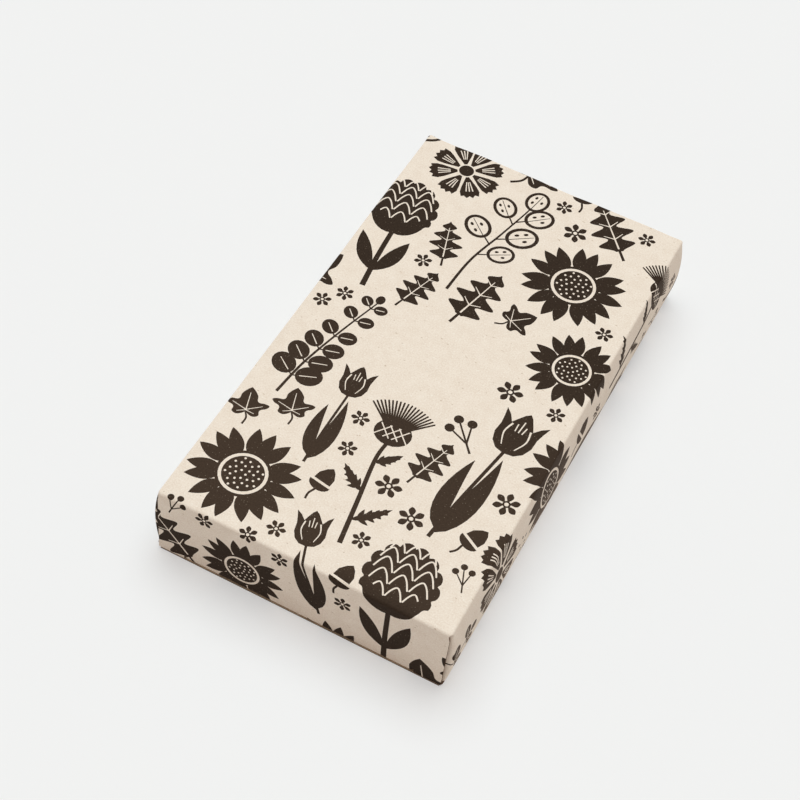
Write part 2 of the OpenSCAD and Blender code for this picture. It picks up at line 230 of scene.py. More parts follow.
# %% Printed ink
ink, shader = new_material("printed_ink", 0.75, specular_ior_level=0.08, sheen_weight=0.18,
                           sheen_roughness=0.28, sheen_tint=linear("#FFDDC4"))
blank = add(ink, "UVMap", uv_map="blank")
# misses are about 0.25 mm wide and 1 mm apart, and half of the cells have none
spots = add(ink, "TexVoronoi", {"Vector": blank, "Scale": BLANK_MM / 1.0})
pick = add(ink, "SeparateColor", {0: spots.outputs["Color"]})
close = add(ink, "MapRange", {0: spots.outputs["Distance"], 1: 0.2, 2: 0.06, 4: 0.3})
chosen = add(ink, "MapRange", {0: pick.outputs[0], 1: 0.5, 2: 0.44})
missed = add(ink, "Math", {0: close, 1: chosen}, operation="MULTIPLY")
grain = add(ink, "TexNoise", {"Vector": blank, "Scale": BLANK_MM / 0.7, "Detail": 3.0})
pale_film_share = add(ink, "MapRange", {0: grain, 1: 0.35, 2: 0.8, 4: 0.6})
# the ink's colour is mixed further towards its paler film on the near half of the top:
# from 30 mm beyond the middle to 60 mm before it, and no further than the near fold
along = add(ink, "SeparateXYZ", {0: blank}).outputs["Y"]
past_middle, before_middle, past_fold, before_fold = (
    BLANK_SHIFT + v / BLANK_MM for v in (30, -60, -113, -105))
paler_near_half = add(ink, "MapRange", {0: along, 1: past_middle, 2: before_middle, 4: 0.6})
fold = add(ink, "MapRange", {0: along, 1: past_fold, 2: before_fold})
paler_near_half = add(ink, "Math", {0: paler_near_half, 1: fold}, operation="MULTIPLY")
pale_film_share = add(ink, "Math", {0: pale_film_share, 1: paler_near_half}, operation="ADD", use_clamp=True)
film = add(ink, "Mix", {0: pale_film_share, 6: linear("#2C2118"), 7: linear("#43352A")}, data_type="RGBA")
tone = add(ink, "Mix", {0: missed, 6: film, 7: linear("#CDBBA5")}, data_type="RGBA")
tooth = add(ink, "Bump", {"Height": grain, "Strength": 0.35, "Distance": 0.04 * MM})
feed(ink, shader, base_color=tone, normal=tooth)
print("ink:", len(ink.node_tree.nodes), "nodes")

# %% [markdown]
# ## The board's reverse and its cut edges
# Inside, the board has no print, and the same recycled pulp shows a greyer brown. A cut edge is rough
# pulp, darker than the faces because the fibres' ends drink the light, and painted darker still with
# shade for the shadow in the narrow gaps beside the edges; together they draw the thin brown lines
# along the carton's edges.

# %% The reverse
PULP, PULP_PALE, PULP_DARK = linear("#CBB89E"), linear("#D8C8B1"), linear("#B9A488")
reverse = board_face("board_reverse", 0.95, 0.25, 0.08, PULP, PULP_PALE, PULP_DARK)


# %% Clotted pulp, and the raw edge
def clotted(name, roughness, level, clot_mm, tones, tooth, depth_mm, detail=4.0, spread=0.2):
    """A matt pulp, whose clots of fibre change its colour and give it a tooth."""
    material, shader = new_material(name, roughness, specular_ior_level=level)
    where = add(material, "TexCoord").outputs["Object"]
    clots = add(material, "TexNoise", {"Vector": where, "Scale": 1 / (clot_mm * MM), "Detail": detail})
    share = add(material, "MapRange", {0: clots, 1: 0.5 - spread, 2: 0.5 + spread})
    tone = add(material, "Mix", {0: share, 6: tones[0], 7: tones[1]}, data_type="RGBA")
    rough = add(material, "Bump", {"Height": clots, "Strength": tooth, "Distance": depth_mm * MM})
    feed(material, shader, base_color=tone, normal=rough)
    return material, shader, where, tone


# torn fibres show every 0.4 mm or so
# the edge's dark browns are partly the pulp's own and partly painted shade, for the shadow in the gaps
# beside cut edges
edge_pulp_and_shade, *_ = clotted("raw_board_edge_and_shade", 1.0, 0.2, 0.4, (linear("#59422F"), linear("#755740")),
                       0.5, 0.1, detail=3.0, spread=0.25)
# the tab glued inside the left wall is plain board too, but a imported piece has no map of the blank
tab_board, *_ = clotted("glue_tab_board", 0.95, 0.25, 0.8, (PULP, PULP_DARK), 0.35, 0.06)
print("pulp:", [m.name for m in (edge_pulp_and_shade, tab_board)])

# %% [markdown]
# ## Drawing plants
# The print shows plants as bold silhouettes with a few lines left bare in them, like a paper cut. An
# image would do, but the print is crisp at any size if it is geometry: closed outlines in
# millimetres that will later be cut into the board's own surface. A sheet collects outlines in
# order. Ink adds dark, and an outline of paper cuts a bare line into the ink under it.

# %% A sheet of outlines
TURN = 2 * pi


def rotate(p, angle):
    """A point turned about the origin, by radians."""
    c, s = cos(angle), sin(angle)
    return (p[0] * c - p[1] * s, p[0] * s + p[1] * c)


def polar(r, degrees, centre=(0, 0)):
    """The point at a distance and an angle from a centre."""
    a = radians(degrees)
    return (centre[0] + r * cos(a), centre[1] + r * sin(a))


def heading(p, q):
    """The way from one point to another, in degrees."""
    return math.degrees(math.atan2(q[1] - p[1], q[0] - p[0]))


def area(loop):
    """A loop's area, which is negative if the loop runs clockwise."""
    return sum(a[0] * b[1] - a[1] * b[0] for a, b in zip(loop, loop[1:] + loop[:1])) / 2


def smooth(points, fine=6):
    """A smooth line through a few points."""
    pts = [points[0], *points, points[-1]]
    out = []
    for i in range(1, len(pts) - 2):
        for k in range(fine):
            t = k / fine
            out.append(tuple(
                0.5 * (2 * b + (c - a) * t + (2 * a - 5 * b + 4 * c - d) * t * t
                       + (3 * b - a - 3 * c + d) * t ** 3)
                for a, b, c, d in zip(*pts[i - 1:i + 3])))
    return out + [points[-1]]


def part_way(line, share):
    """The point at a share of a line, and the way that the line runs there."""
    k = int(share * (len(line) - 1))
    return line[k], heading(line[k], line[min(k + 1, len(line) - 1)])


print("half way up a bent stem:", part_way(smooth([(0, 0), (1, 5), (3, 8)]), 0.5))

# %% A sheet that collects outlines
LEAST_STEP, LEAST_AREA = 0.04, 0.01      # mm and mm2: what is finer than the press can print is dropped


class Sheet:
    """Outlines in the order they are cut: ink, or paper left bare in it."""

    def __init__(self):
        self.shapes = []
        self.at(0, 0)

    def at(self, x, y, size=1.0, lean=0.0, flip=1):
        """Where the next plant stands, how big it is and how it leans."""
        self.spot = (x, y, size, radians(lean), flip)
        return self

    def put(self, points, ink=True):
        """Moves an outline to the plant's spot, and keeps it anticlockwise."""
        x, y, size, lean, flip = self.spot
        loop = []
        for p in points:
            q = rotate((p[0] * size * flip, p[1] * size), lean)
            q = (q[0] + x, q[1] + y)
            if not loop or dist(q, loop[-1]) > LEAST_STEP:
                loop.append(q)
        if dist(loop[0], loop[-1]) < LEAST_STEP:
            loop.pop()
        if len(loop) > 2 and abs(area(loop)) > LEAST_AREA:
            self.shapes.append((loop if area(loop) > 0 else loop[::-1], ink))

    def even(self, half, centre=(0, 0)):
        """An outline with two equal sides, from its right half, going up."""
        x, y = centre
        self.put([(x + a, y + b) for a, b in half] + [(x - a, y + b) for a, b in half[::-1] if a])

    def line(self, points, w0, w1=None, ink=True):
        """A stroke whose width runs from w0 to w1."""
        w1 = w0 if w1 is None else w1
        last = len(points) - 1
        one, other = [], []
        for i, p in enumerate(points):
            a, b = points[max(i - 1, 0)], points[min(i + 1, last)]
            d = dist(a, b) or 1.0
            half = (w0 + (w1 - w0) * i / last) / 2
            n = (-(b[1] - a[1]) / d * half, (b[0] - a[0]) / d * half)
            one.append((p[0] + n[0], p[1] + n[1]))
            other.append((p[0] - n[0], p[1] - n[1]))
        tip = heading(*points[-2:])
        cap = [polar(w1 / 2, tip + a, points[-1]) for a in (45, 0, -45)] if w1 > 0.5 else []
        self.put(one + cap + other[::-1], ink)

    def stem(self, points, w0, w1=None, fine=10, ink=True):
        """A smooth stroke through a few points. Returns the line that it follows."""
        line = smooth(points, fine)
        self.line(line, w0, w1, ink)
        return line

    def disc(self, centre, rx, ry=None, tilt=0.0, ink=True, n=16):
        """A round or an oval of n sides, tilted by radians."""
        ry = rx if ry is None else ry
        ring = [rotate((rx * cos(TURN * i / n), ry * sin(TURN * i / n)), tilt)
                for i in range(n)]
        self.put([(centre[0] + q[0], centre[1] + q[1]) for q in ring], ink)

    def leaf(self, base, angle, length, width, belly=0.45, bend=0.0):
        """A pointed leaf, widest at belly of its length, that bends to one side."""
        power = math.log(0.5) / math.log(belly)
        shares = [i / 9 for i in range(10)]
        half = [width / 2 * max(sin(pi * t ** power), 0.0) ** 0.85 for t in shares]
        upper, lower = ([(length * t, k * h + bend * length * t * t) for t, h in zip(shares, half)]
                        for k in (1, -1))
        turned = [rotate(p, radians(angle)) for p in upper + lower[-2:0:-1]]
        self.put([(base[0] + q[0], base[1] + q[1]) for q in turned])


def outlines(*plants):
    """How many outlines each plant has."""
    counts = {}
    for plant in plants:
        probe = Sheet()
        plant(probe)
        counts[plant.__name__] = len(probe.shapes)
    return counts


print("a sheet takes strokes, stems, discs and leaves")

# %% [markdown]
# ### The plants
# Each plant is a short function that draws it upwards from its foot at its printed size. They are
# common garden and hedgerow plants, so their outlines come from how each one grows: where leaves
# leave the stem, how a head is built, which parts are solid and which are open.

# %% Tulip and bluebell
def tulip(s, h=62, cup=17, lean=3):
    s.stem([(0, 0), (lean * 0.3, h * 0.3), (lean, h - cup)], 1.5, 1.2, fine=6)
    x, y, w = lean, h - cup, cup * 0.42
    side = [(0.5, 0.0), (0.84, 0.14), (1.02, 0.36), (1.0, 0.62), (1.08, 0.82), (1.2, 1.04),
            (0.86, 0.92), (0.6, 0.76), (0.42, 0.9), (0.2, 1.06)]
    s.even([(0, -0.8)] + [(w * a, cup * b) for a, b in side] + [(0, cup * 1.14)], (x, y))
    for k in (-1, 1):
        s.stem([(x + k * w * a, y + cup * b) for a, b in ((0.5, 0.74), (0.62, 0.45), (0.36, 0.14))],
               0.75, 0.35, fine=5, ink=False)
    for k in (-0.24, 0.0, 0.24):
        s.line([(x + k * w, y + cup * (0.9 - abs(k) * 0.5)), (x + k * w * 0.8, y + cup * 0.58)],
               0.45, ink=False)
    s.leaf((0.2, 2), 68, h * 0.62, 7.5, 0.4, 0.28)
    s.leaf((-0.2, 4), 112, h * 0.5, 6.5, 0.4, -0.3)


def bluebell(s, h=66, bells=6, lean=18):
    stem = s.stem([(0, 0), (1, h * 0.35), (4, h * 0.68), (lean * 0.65, h * 0.92), (lean, h * 0.93),
                   (lean + 4, h * 0.86)], 1.4, 0.8)
    bell = [(0.35, -0.04), (0.78, 0.22), (0.74, 0.66), (1.45, 0.92), (0.72, 0.86), (0.42, 1.1)]
    for i in range(bells):
        p, _ = part_way(stem, 0.5 + 0.49 * i / (bells - 1))
        size = 7.6 - 0.55 * i
        x, y, w = p[0] + 2.4 + 0.3 * i, p[1] - 1.6, size * 0.36
        s.stem([p, (p[0] + 1.8, p[1] + 0.4), (x, y)], 0.6, fine=4)
        s.even([(w * a, -size * b) for a, b in bell] + [(0, -size * 0.84)], (x, y))
        s.line([(x, y - size * 0.14), (x, y - size * 0.6)], 0.4, ink=False)
    s.leaf((0, 1), 104, h * 0.66, 4.6, bend=-0.12)
    s.leaf((0, 0), 76, h * 0.4, 4.2, bend=0.2)


print(outlines(tulip, bluebell))


# %% Artichoke
def artichoke(s, h=64, head=30, lean=2):
    s.stem([(0, 0), (lean * 0.3, h * 0.25), (lean, h - head)], 2.4, 2.0, fine=6)
    x, y, w = lean, h - head - 1, head * 0.46
    rim = []
    for i in range(84):
        a = -pi / 2 + TURN * i / 84
        tip = abs(sin(7 * (a + pi / 2))) ** 0.6 * (0.12 if sin(a) > -0.45 else 0.05)
        r = 0.95 + tip
        rim.append((x + w * r * cos(a), y + head * (0.5 + 0.52 * r * sin(a))))
    s.put(rim)
    # a scale's rim is an arch left bare
    arch = ((-0.92, 0.3), (-0.5, 1.25), (0, 1.75), (0.5, 1.25), (0.92, 0.3))
    for row in range(5):
        yy = y + head * (0.2 + 0.165 * row)
        half = w * sqrt(max(0.0, 1 - ((yy - y - head * 0.5) / (head * 0.56)) ** 2)) * 0.86
        count = max(2, int(half / 3.0))
        d = half / count
        for j in range(count):
            cx = x + (j - (count - 1) / 2) * 2 * d
            s.stem([(cx + d * a, yy + d * b) for a, b in arch], 0.62, fine=4, ink=False)
    for k in (-1, 1):
        s.leaf((x, y - 1), 90 - k * 62, head * 0.62, 6.0, bend=k * 0.35)
        s.leaf((lean * 0.3, h * 0.14), 90 - k * 38, head * 0.74, 6.6, 0.5, k * 0.2)


print(outlines(artichoke))


# %% Thistle
def thistle(s, h=58, head=15, lean=-3):
    stem = s.stem([(0, 0), (lean * 0.5, h * 0.3), (lean, h * 0.6), (lean * 0.7, h - head)], 1.7, 1.3)
    x, y, r = lean * 0.7, h - head - 0.5, head * 0.42
    for i in range(19):
        a = radians(48 + 84 * i / 18)
        across, up = (r + head * 0.62) * cos(a) * 1.06, (r + head * 0.6) * sin(a)
        s.line([(x + r * 0.5 * cos(a), y + r * 0.9), (x + across, y + r * 0.4 + up)], 0.9, 0.62)
    s.disc((x, y + r * 0.72), r * 1.04, r * 0.86, n=20)
    for k in (-1, 1):
        for shift in (-0.5, 0.0, 0.5):
            s.line([(x + r * (shift + k * a), y + r * b) for a, b in ((-0.42, 0.3), (0.3, 1.14))],
                   0.42, ink=False)
    for t, k in ((0.2, 1), (0.42, -1), (0.66, 1)):
        (p, _), length, a = part_way(stem, t), 16 - 9 * t, 90 - k * 58
        s.leaf(p, a, length, 2.8, bend=k * 0.15)
        for j in range(1, 5):
            q = rotate((length * j / 5, k * 0.15 * length * (j / 5) ** 2), radians(a))
            for m in (-1, 1):
                s.leaf((p[0] + q[0], p[1] + q[1]), a + m * 52, length * 0.3 * (1.15 - j / 5), 1.7, 0.3)


print(outlines(thistle))


# %% Flowers seen from the front
def sunflower(s, r=19, petals=17):
    for i in range(petals):
        a = 360 * i / petals + 3 * sin(i * 2.3)
        s.leaf(polar(r * 0.4, a), a, r * 0.62, r * 0.27, 0.42)
    s.disc((0, 0), r * 0.5, n=32)
    s.disc((0, 0), r * 0.44, ink=False, n=30)
    s.disc((0, 0), r * 0.38, n=28)
    for i in range(30):
        s.disc(polar(r * 0.345 * sqrt((i + 0.6) / 30), i * 137.5), r * 0.024, ink=False, n=6)


def cosmos(s, r=13, petals=8):
    edge = ((-1, 0.62), (-0.98, 0.82), (-0.72, 0.97), (-0.45, 0.91), (-0.2, 1.0), (0.05, 0.93),
            (0.3, 1.0), (0.55, 0.92), (0.8, 0.96), (0.99, 0.8), (1, 0.62))
    half = 180 / petals * 0.84
    for i in range(petals):
        a = 360 * i / petals + 2 * sin(i * 1.9)
        s.put([polar(r * 0.24, a - half * 0.5)] + [polar(r * q, a + half * u) for u, q in edge]
              + [polar(r * 0.24, a + half * 0.5)])
        for u in (-0.36, 0.0, 0.36):
            s.line([polar(r * 0.42, a + half * u * 0.8), polar(r * 0.76, a + half * u)], 0.3, 0.42,
                   ink=False)
    s.disc((0, 0), r * 0.2)


def starlet(s, r=4.5):
    for i in range(6):
        s.leaf(polar(r * 0.16, 60 * i), 60 * i, r * 0.84, r * 0.5, 0.6)
    s.disc((0, 0), r * 0.3, n=12)
    s.disc((0, 0), r * 0.16, ink=False, n=10)


print(outlines(sunflower, cosmos, starlet))


# %% Spikes and ears
def wheat(s, h=70, rows=8, lean=-6, awn=15):
    stem = s.stem([(0, 0), (lean * 0.1, h * 0.3), (lean * 0.5, h * 0.62), (lean, h)], 1.1, 0.7)
    for i in range(rows):
        p, a = part_way(stem, 0.6 + 0.37 * i / (rows - 1))
        for m in (-1, 1):
            size = 5.4 - 0.16 * i
            s.leaf(p, a + m * 27, size, 2.7, 0.55)
            tip = polar(size, a + m * 24, p)
            s.line([tip, polar(awn * 0.55, a + m * 13, tip), polar(awn, a + m * 8, tip)], 0.45, 0.3)
    s.leaf((lean, h - 1), 98, 6, 2.4, 0.5)
    s.leaf((lean * 0.1, h * 0.22), 128, h * 0.32, 3.0, 0.3, -0.25)


def lavender(s, h=64, lean=4, whorls=7):
    stem = s.stem([(0, 0), (lean * 0.2, h * 0.35), (lean * 0.8, h * 0.75), (lean, h)], 1.1, 0.8)
    for i in range(whorls):
        p, _ = part_way(stem, 0.56 + 0.42 * i / (whorls - 1))
        for a in (25, 60, 90, 120, 155):
            s.leaf((p[0], p[1] - 1), a, 4.6 - 0.3 * i, 2.0, 0.62)
    for t, k in ((0.08, 1), (0.14, -1), (0.24, 1), (0.3, -1)):
        s.leaf(part_way(stem, t)[0], 90 - k * 30, 17 - 18 * t, 2.6, 0.5, k * 0.1)


print(outlines(wheat, lavender))


# %% Sprays
def honesty(s, h=56, lean=8):
    stem = s.stem([(0, 0), (lean * 0.1, h * 0.35), (lean * 0.6, h * 0.7), (lean, h)], 1.3, 0.7)
    for t, side, r in ((0.98, 8, 6.2), (0.84, 46, 6.6), (0.8, -42, 6.2), (0.62, 52, 7.2),
                       (0.56, -50, 6.8), (0.4, 56, 6.0)):
        p, _ = part_way(stem, t)
        a = radians(90 - side)
        c = (p[0] + (3.4 + r) * cos(a) * 1.1, p[1] + (3.4 + r) * sin(a))
        s.line([p, c], 0.7, 0.6)
        s.disc(c, r, r * 0.82, a, n=22)
        s.disc(c, r * 0.78, r * 0.6, a, ink=False, n=20)
        s.line([polar(-r * 0.82, 90 - side, c), polar(r * 0.7, 90 - side, c)], 0.4, 0.3)
        for k, m in ((-1, 0.1), (1, 0.3), (1, -0.25)):
            q = rotate((m * r, k * r * 0.27), a)
            s.disc((c[0] + q[0], c[1] + q[1]), r * 0.15, r * 0.1, a, n=8)


def eucalyptus(s, h=58, lean=-8, pairs=6):
    stem = s.stem([(0, 0), (lean * 0.1, h * 0.3), (lean * 0.5, h * 0.66), (lean, h)], 1.2, 0.6)
    for i in range(pairs):
        p, a = part_way(stem, 0.2 + 0.72 * i / (pairs - 1))
        r = 5.2 - 0.5 * i
        for m in (-60, 60):
            c = polar(r + 1.3, a + m, p)
            s.line([p, c], 0.6)
            s.disc(c, r, r * 0.86, radians(a + m), n=18)
            s.line([polar(-r * 0.7, a + m, c), polar(r * 0.55, a + m, c)], 0.42, 0.3, ink=False)
    s.disc((lean, h + 1.4), 1.8, 2.3, n=14)


def magnolia(s, h=46, lean=6):
    stem = s.stem([(0, 0), (2, h * 0.3), (-1, h * 0.55), (lean, h * 0.86)], 2.4, 1.3)
    for t, a, size in ((0.3, 38, 10), (0.5, 138, 9), (0.72, 30, 8)):
        p, _ = part_way(stem, t)
        q = polar(5.5, a, p)
        s.line([p, q], 1.3, 1.0)
        s.leaf(q, a + 12, size, size * 0.5, 0.42)
        s.leaf(q, a - 26, size * 0.5, size * 0.24, 0.5)
    for a, length, w in ((90, 15, 7.5), (58, 15, 6.5), (122, 15, 6.5), (30, 12, 5.4), (150, 12, 5.4)):
        s.leaf(stem[-1], a, length, w, 0.62)
    for a in (74, 106, 44, 136):
        s.line([polar(3, a, stem[-1]), polar(11.5, a, stem[-1])], 0.7, 0.5, ink=False)


print(outlines(honesty, eucalyptus, magnolia))


# %% Ginkgo and a young fern
def ginkgo(s, r=17):
    y = r * 0.8
    s.stem([(0, 0), (0.8, r * 0.4), (0, r * 0.85)], 1.5, 1.1, fine=6)
    rim = []
    for i in range(23):
        a = radians(14 + 152 * i / 22)
        q = r * (1.0 + 0.045 * sin(i * 2.4)) * (0.62 if i == 11 else 1.0)
        rim.append((q * cos(a) * 1.05, y + q * sin(a) * 0.98 - r * 0.04))
    s.put([(0.5, y)] + rim + [(-0.5, y)])
    for a in (24, 37, 50, 63, 76, 104, 117, 130, 143, 156):
        s.line([polar(r * 0.34, a, (0, y)), polar(r * 0.85, a, (0, y))], 0.35, 0.7, ink=False)


def fiddlehead(s, h=46, r=8):
    coil = [polar(r * (1 - 0.78 * i / 33), 180 - 405 * i / 33, (r * 0.95, h - r)) for i in range(34)]
    line = smooth([(0, 0), (-1.2, h * 0.4), (coil[0][0], coil[0][1] - 1.5)], 8)[:-1] + coil
    s.line(line, 2.6, 1.2)
    for i in range(6, len(line) - 16, 2):
        s.leaf(line[i], heading(line[i], line[i + 1]) + 78, 4.4 + 0.05 * i, 1.7, 0.5)


print(outlines(ginkgo, fiddlehead))


# %% Oak and ivy leaves
def oak(s, length=34, width=19):
    s.line([(0, 0), (0, length * 0.2)], 1.3, 1.1)
    side = []
    for i in range(41):
        t = i / 40
        waist = width / 2 * sin(pi * (0.12 + 0.88 * t ** 0.8)) ** 0.7
        half = max(0.25, waist * (0.66 - 0.34 * cos(TURN * 4 * t)))
        side.append((half, length * (0.16 + 0.84 * t)))
    s.even(side)
    s.line([(0, length * 0.2), (0, length * 0.86)], 0.75, 0.35, ink=False)
    for i in (1, 2, 3):
        y = length * (0.16 + 0.84 * (i - 0.02) / 4)
        for k in (-1, 1):
            s.line([(0, y), (k * width * 0.22, y + length * 0.07)], 0.5, 0.3, ink=False)


def ivy(s, size=15):
    s.stem([(0, -size * 0.5), (size * 0.08, -size * 0.22), (0, size * 0.04)], 1.1, 0.9, fine=6)
    s.even(smooth([(x * size, y * size) for x, y in (
        (0, 0.03), (0.14, -0.08), (0.3, -0.13), (0.46, -0.04), (0.44, 0.12), (0.5, 0.22), (0.66, 0.3),
        (0.74, 0.44), (0.56, 0.5), (0.38, 0.5), (0.3, 0.58), (0.28, 0.76), (0.15, 0.96), (0, 1.1))], 3))
    s.line([(0, size * 0.1), (0, size * 0.86)], 0.6, 0.3, ink=False)
    for k in (-1, 1):
        s.line([(0, size * 0.12), (k * size * 0.52, size * 0.37)], 0.5, 0.3, ink=False)
        s.line([(0, size * 0.1), (k * size * 0.3, size * 0.0)], 0.45, 0.3, ink=False)


print(outlines(oak, ivy))


# %% Small plants that fill the gaps
def sprig(s, h=34, lean=5, pairs=6, length=9):
    stem = s.stem([(0, 0), (lean * 0.2, h * 0.4), (lean, h)], 1.0, 0.6)
    for i in range(pairs):
        t = 0.12 + 0.8 * i / (pairs - 1)
        p, a = part_way(stem[:-1], t)
        for m in (-1, 1):
            s.leaf(p, a + m * 44, length * (1.1 - 0.45 * t), 3.2, bend=-m * 0.12)
    s.leaf(stem[-1], 80, length * 0.7, 2.9)


def acorn(s, size=9):
    s.stem([(0, -size * 0.9), (0.6, -size * 0.6), (0, -size * 0.3)], 0.9, fine=5)
    s.put([(size * 0.5 * cos(pi * i / 10), size * (0.08 - 0.36 * sin(pi * i / 10)))
           for i in range(11)])
    s.even([(size * a, size * b) for a, b in ((0.4, 0.2), (0.38, 0.55), (0.2, 0.85), (0, 1.02))])


def berries(s, size=8):
    for a, d in ((62, 1.0), (90, 1.22), (118, 1.0)):
        s.line([(0, 0), polar(size * d, a)], 0.7, 0.6)
        s.disc(polar(size * d, a), size * 0.21, n=12)
    s.line([(0, -size * 0.5), (0, 0)], 0.8, 0.7)


def seeds(s, size=6):
    for a in (-30, 35, 95, 160, 220):
        s.leaf(polar(size * 0.42, a), a + 20, size * 0.42, size * 0.2, 0.5)


print(outlines(sprig, acorn, berries, seeds))

# %% [markdown]
# ### Planting the blank
# The print runs over every fold, so the plants are set out on the flat blank: across it from the left
# wall over the top to the right wall, and along it from one end flap to the other. A few bold heads
# are placed one by one where they should be seen. The rest find their own room: each tries many spots,
# and takes the one where it fits most closely among its neighbours without touching them. A grid
# of small cells remembers what is covered. A calm bare place is kept in the middle of the top, two of
# its corners are kept clear so that their folds read well, and the underside is only as long as the top.

# %% The grid that remembers what is covered
CELL = 1.25                      # mm
LEFT, RIGHT, FAR = -98.0, 216.0, 158.0      # the blank's reach on the grid, in mm
ACROSS, ALONG = int((RIGHT - LEFT) / CELL), int(2 * FAR / CELL)


def box_of(loop):
    """The lowest and the highest corner of a loop."""
    return ([pick(p[i] for p in loop) for i in (0, 1)] for pick in (min, max))


def inside(loop, x, y):
    """Which of many points lie inside a loop: those whose ray crosses it an odd number of times."""
    crossed = np.zeros(x.shape, bool)
    for (ax, ay), (bx, by) in zip(loop, [*loop[1:], loop[0]]):
        if ay != by:
            crossed ^= ((ay > y) != (by > y)) & (x < (bx - ax) * (y - ay) / (by - ay) + ax)
    return crossed


def cells_of(shapes):
    """Cells that some ink covers, as whole numbers."""
    found = set()
    for loop, is_ink in shapes:
        if is_ink:
            loop = [(x / CELL, y / CELL) for x, y in loop]
            spans = [np.arange(math.floor(a), math.ceil(b) + 1) for a, b in zip(*box_of(loop))]
            gx, gy = np.meshgrid(*spans)
            hit = inside(loop, gx, gy)
            found |= set(zip(gx[hit].tolist(), gy[hit].tolist()))
            found |= {(round(x), round(y)) for x, y in loop}
    return found


def widened(cells, step):
    """Cells together with those a step away on every side."""
    return {(i + a, j + b) for i, j in cells for a in (-step, 0, step) for b in (-step, 0, step)}


def on_grid(cells, i, j):
    """The cells that lie on the grid once moved to a spot, and how many fall beyond it."""
    moved = cells + (i, j)
    kept = (moved >= 0).all(1) & (moved < (ACROSS, ALONG)).all(1)
    return moved[kept], len(moved) - int(kept.sum())


def leaning(plant, size, lean, flip):
    """A plant's own cells, those just round it and those a little further out."""
    probe = Sheet()
    plant(probe.at(0, 0, size, lean, flip))
    own = cells_of(probe.shapes)
    close = widened(own, 1)
    return tuple(np.array(sorted(c)) for c in (own, close, widened(close, 2) - close))


print("the grid has", ACROSS, "by", ALONG, "cells")

# %% Finding room for a plant
FOLD_CLEAR = 5.0                 # mm from a plant's foot to a long fold, so that no stem runs along it
LEAST_ON = 0.3                   # the least share of a plant that must lie on the grid
OFF_WORTH = 0.5                  # a cell beyond the grid counts as half a neighbour
TRIES = 300                      # spots that each plant tries


def plant_blank(by_hand, by_room, bare, folds, seed):
    """Draws every plant on one sheet, and returns the sheet."""
    chance = random.Random(seed)
    taken = np.zeros((ACROSS, ALONG), bool)
    mid = (int(-LEFT / CELL), ALONG // 2)

    def cell_at(u, v):
        """The cell under a point of the blank."""
        return round(u / CELL) + mid[0], round(v / CELL) + mid[1]

    for low_u, low_v, high_u, high_v in bare:
        (i, j), (k, m) = cell_at(low_u, low_v), cell_at(high_u, high_v)
        taken[max(i, 0):k, max(j, 0):m] = True
    free = [i for i in range(ACROSS)
            if all(abs(abs(i - mid[0]) * CELL - f) > FOLD_CLEAR for f in folds)]
    sheet = Sheet()

    def settle(plant, own, i, j, size, lean, flip):
        """Takes up a plant's cells, and draws it there."""
        spots, _ = on_grid(own, i, j)
        taken[spots[:, 0], spots[:, 1]] = True
        plant(sheet.at((i - mid[0]) * CELL, (j - mid[1]) * CELL, size, lean, flip))

    for plant, across, along, size, lean, flip in by_hand:
        settle(plant, leaning(plant, size, lean, flip)[0], *cell_at(across, along), size, lean, flip)
    for plant, size, most_lean, count in by_room:
        forms = [(lean, flip, *leaning(plant, size, lean, flip)) for lean, flip in (
            (-most_lean, 1), (-most_lean / 3, -1), (most_lean / 3, 1), (most_lean, -1))]
        for _ in range(count):
            best = None
            for _ in range(TRIES):
                lean, flip, own, close, wide = forms[chance.randrange(len(forms))]
                i, j = chance.choice(free), chance.randrange(ALONG)
                spots, _ = on_grid(close, i, j)
                if len(spots) < len(close) * LEAST_ON or taken[spots[:, 0], spots[:, 1]].any():
                    continue
                spots, off = on_grid(wide, i, j)
                score = (OFF_WORTH * off + taken[spots[:, 0], spots[:, 1]].sum()) / len(wide)
                if best is None or score > best[0]:
                    best = (score, own, i, j, lean, flip)
            if best is not None:
                _, own, i, j, lean, flip = best
                settle(plant, own, i, j, size, lean, flip)
    return sheet


print("each plant tries", TRIES, "spots")

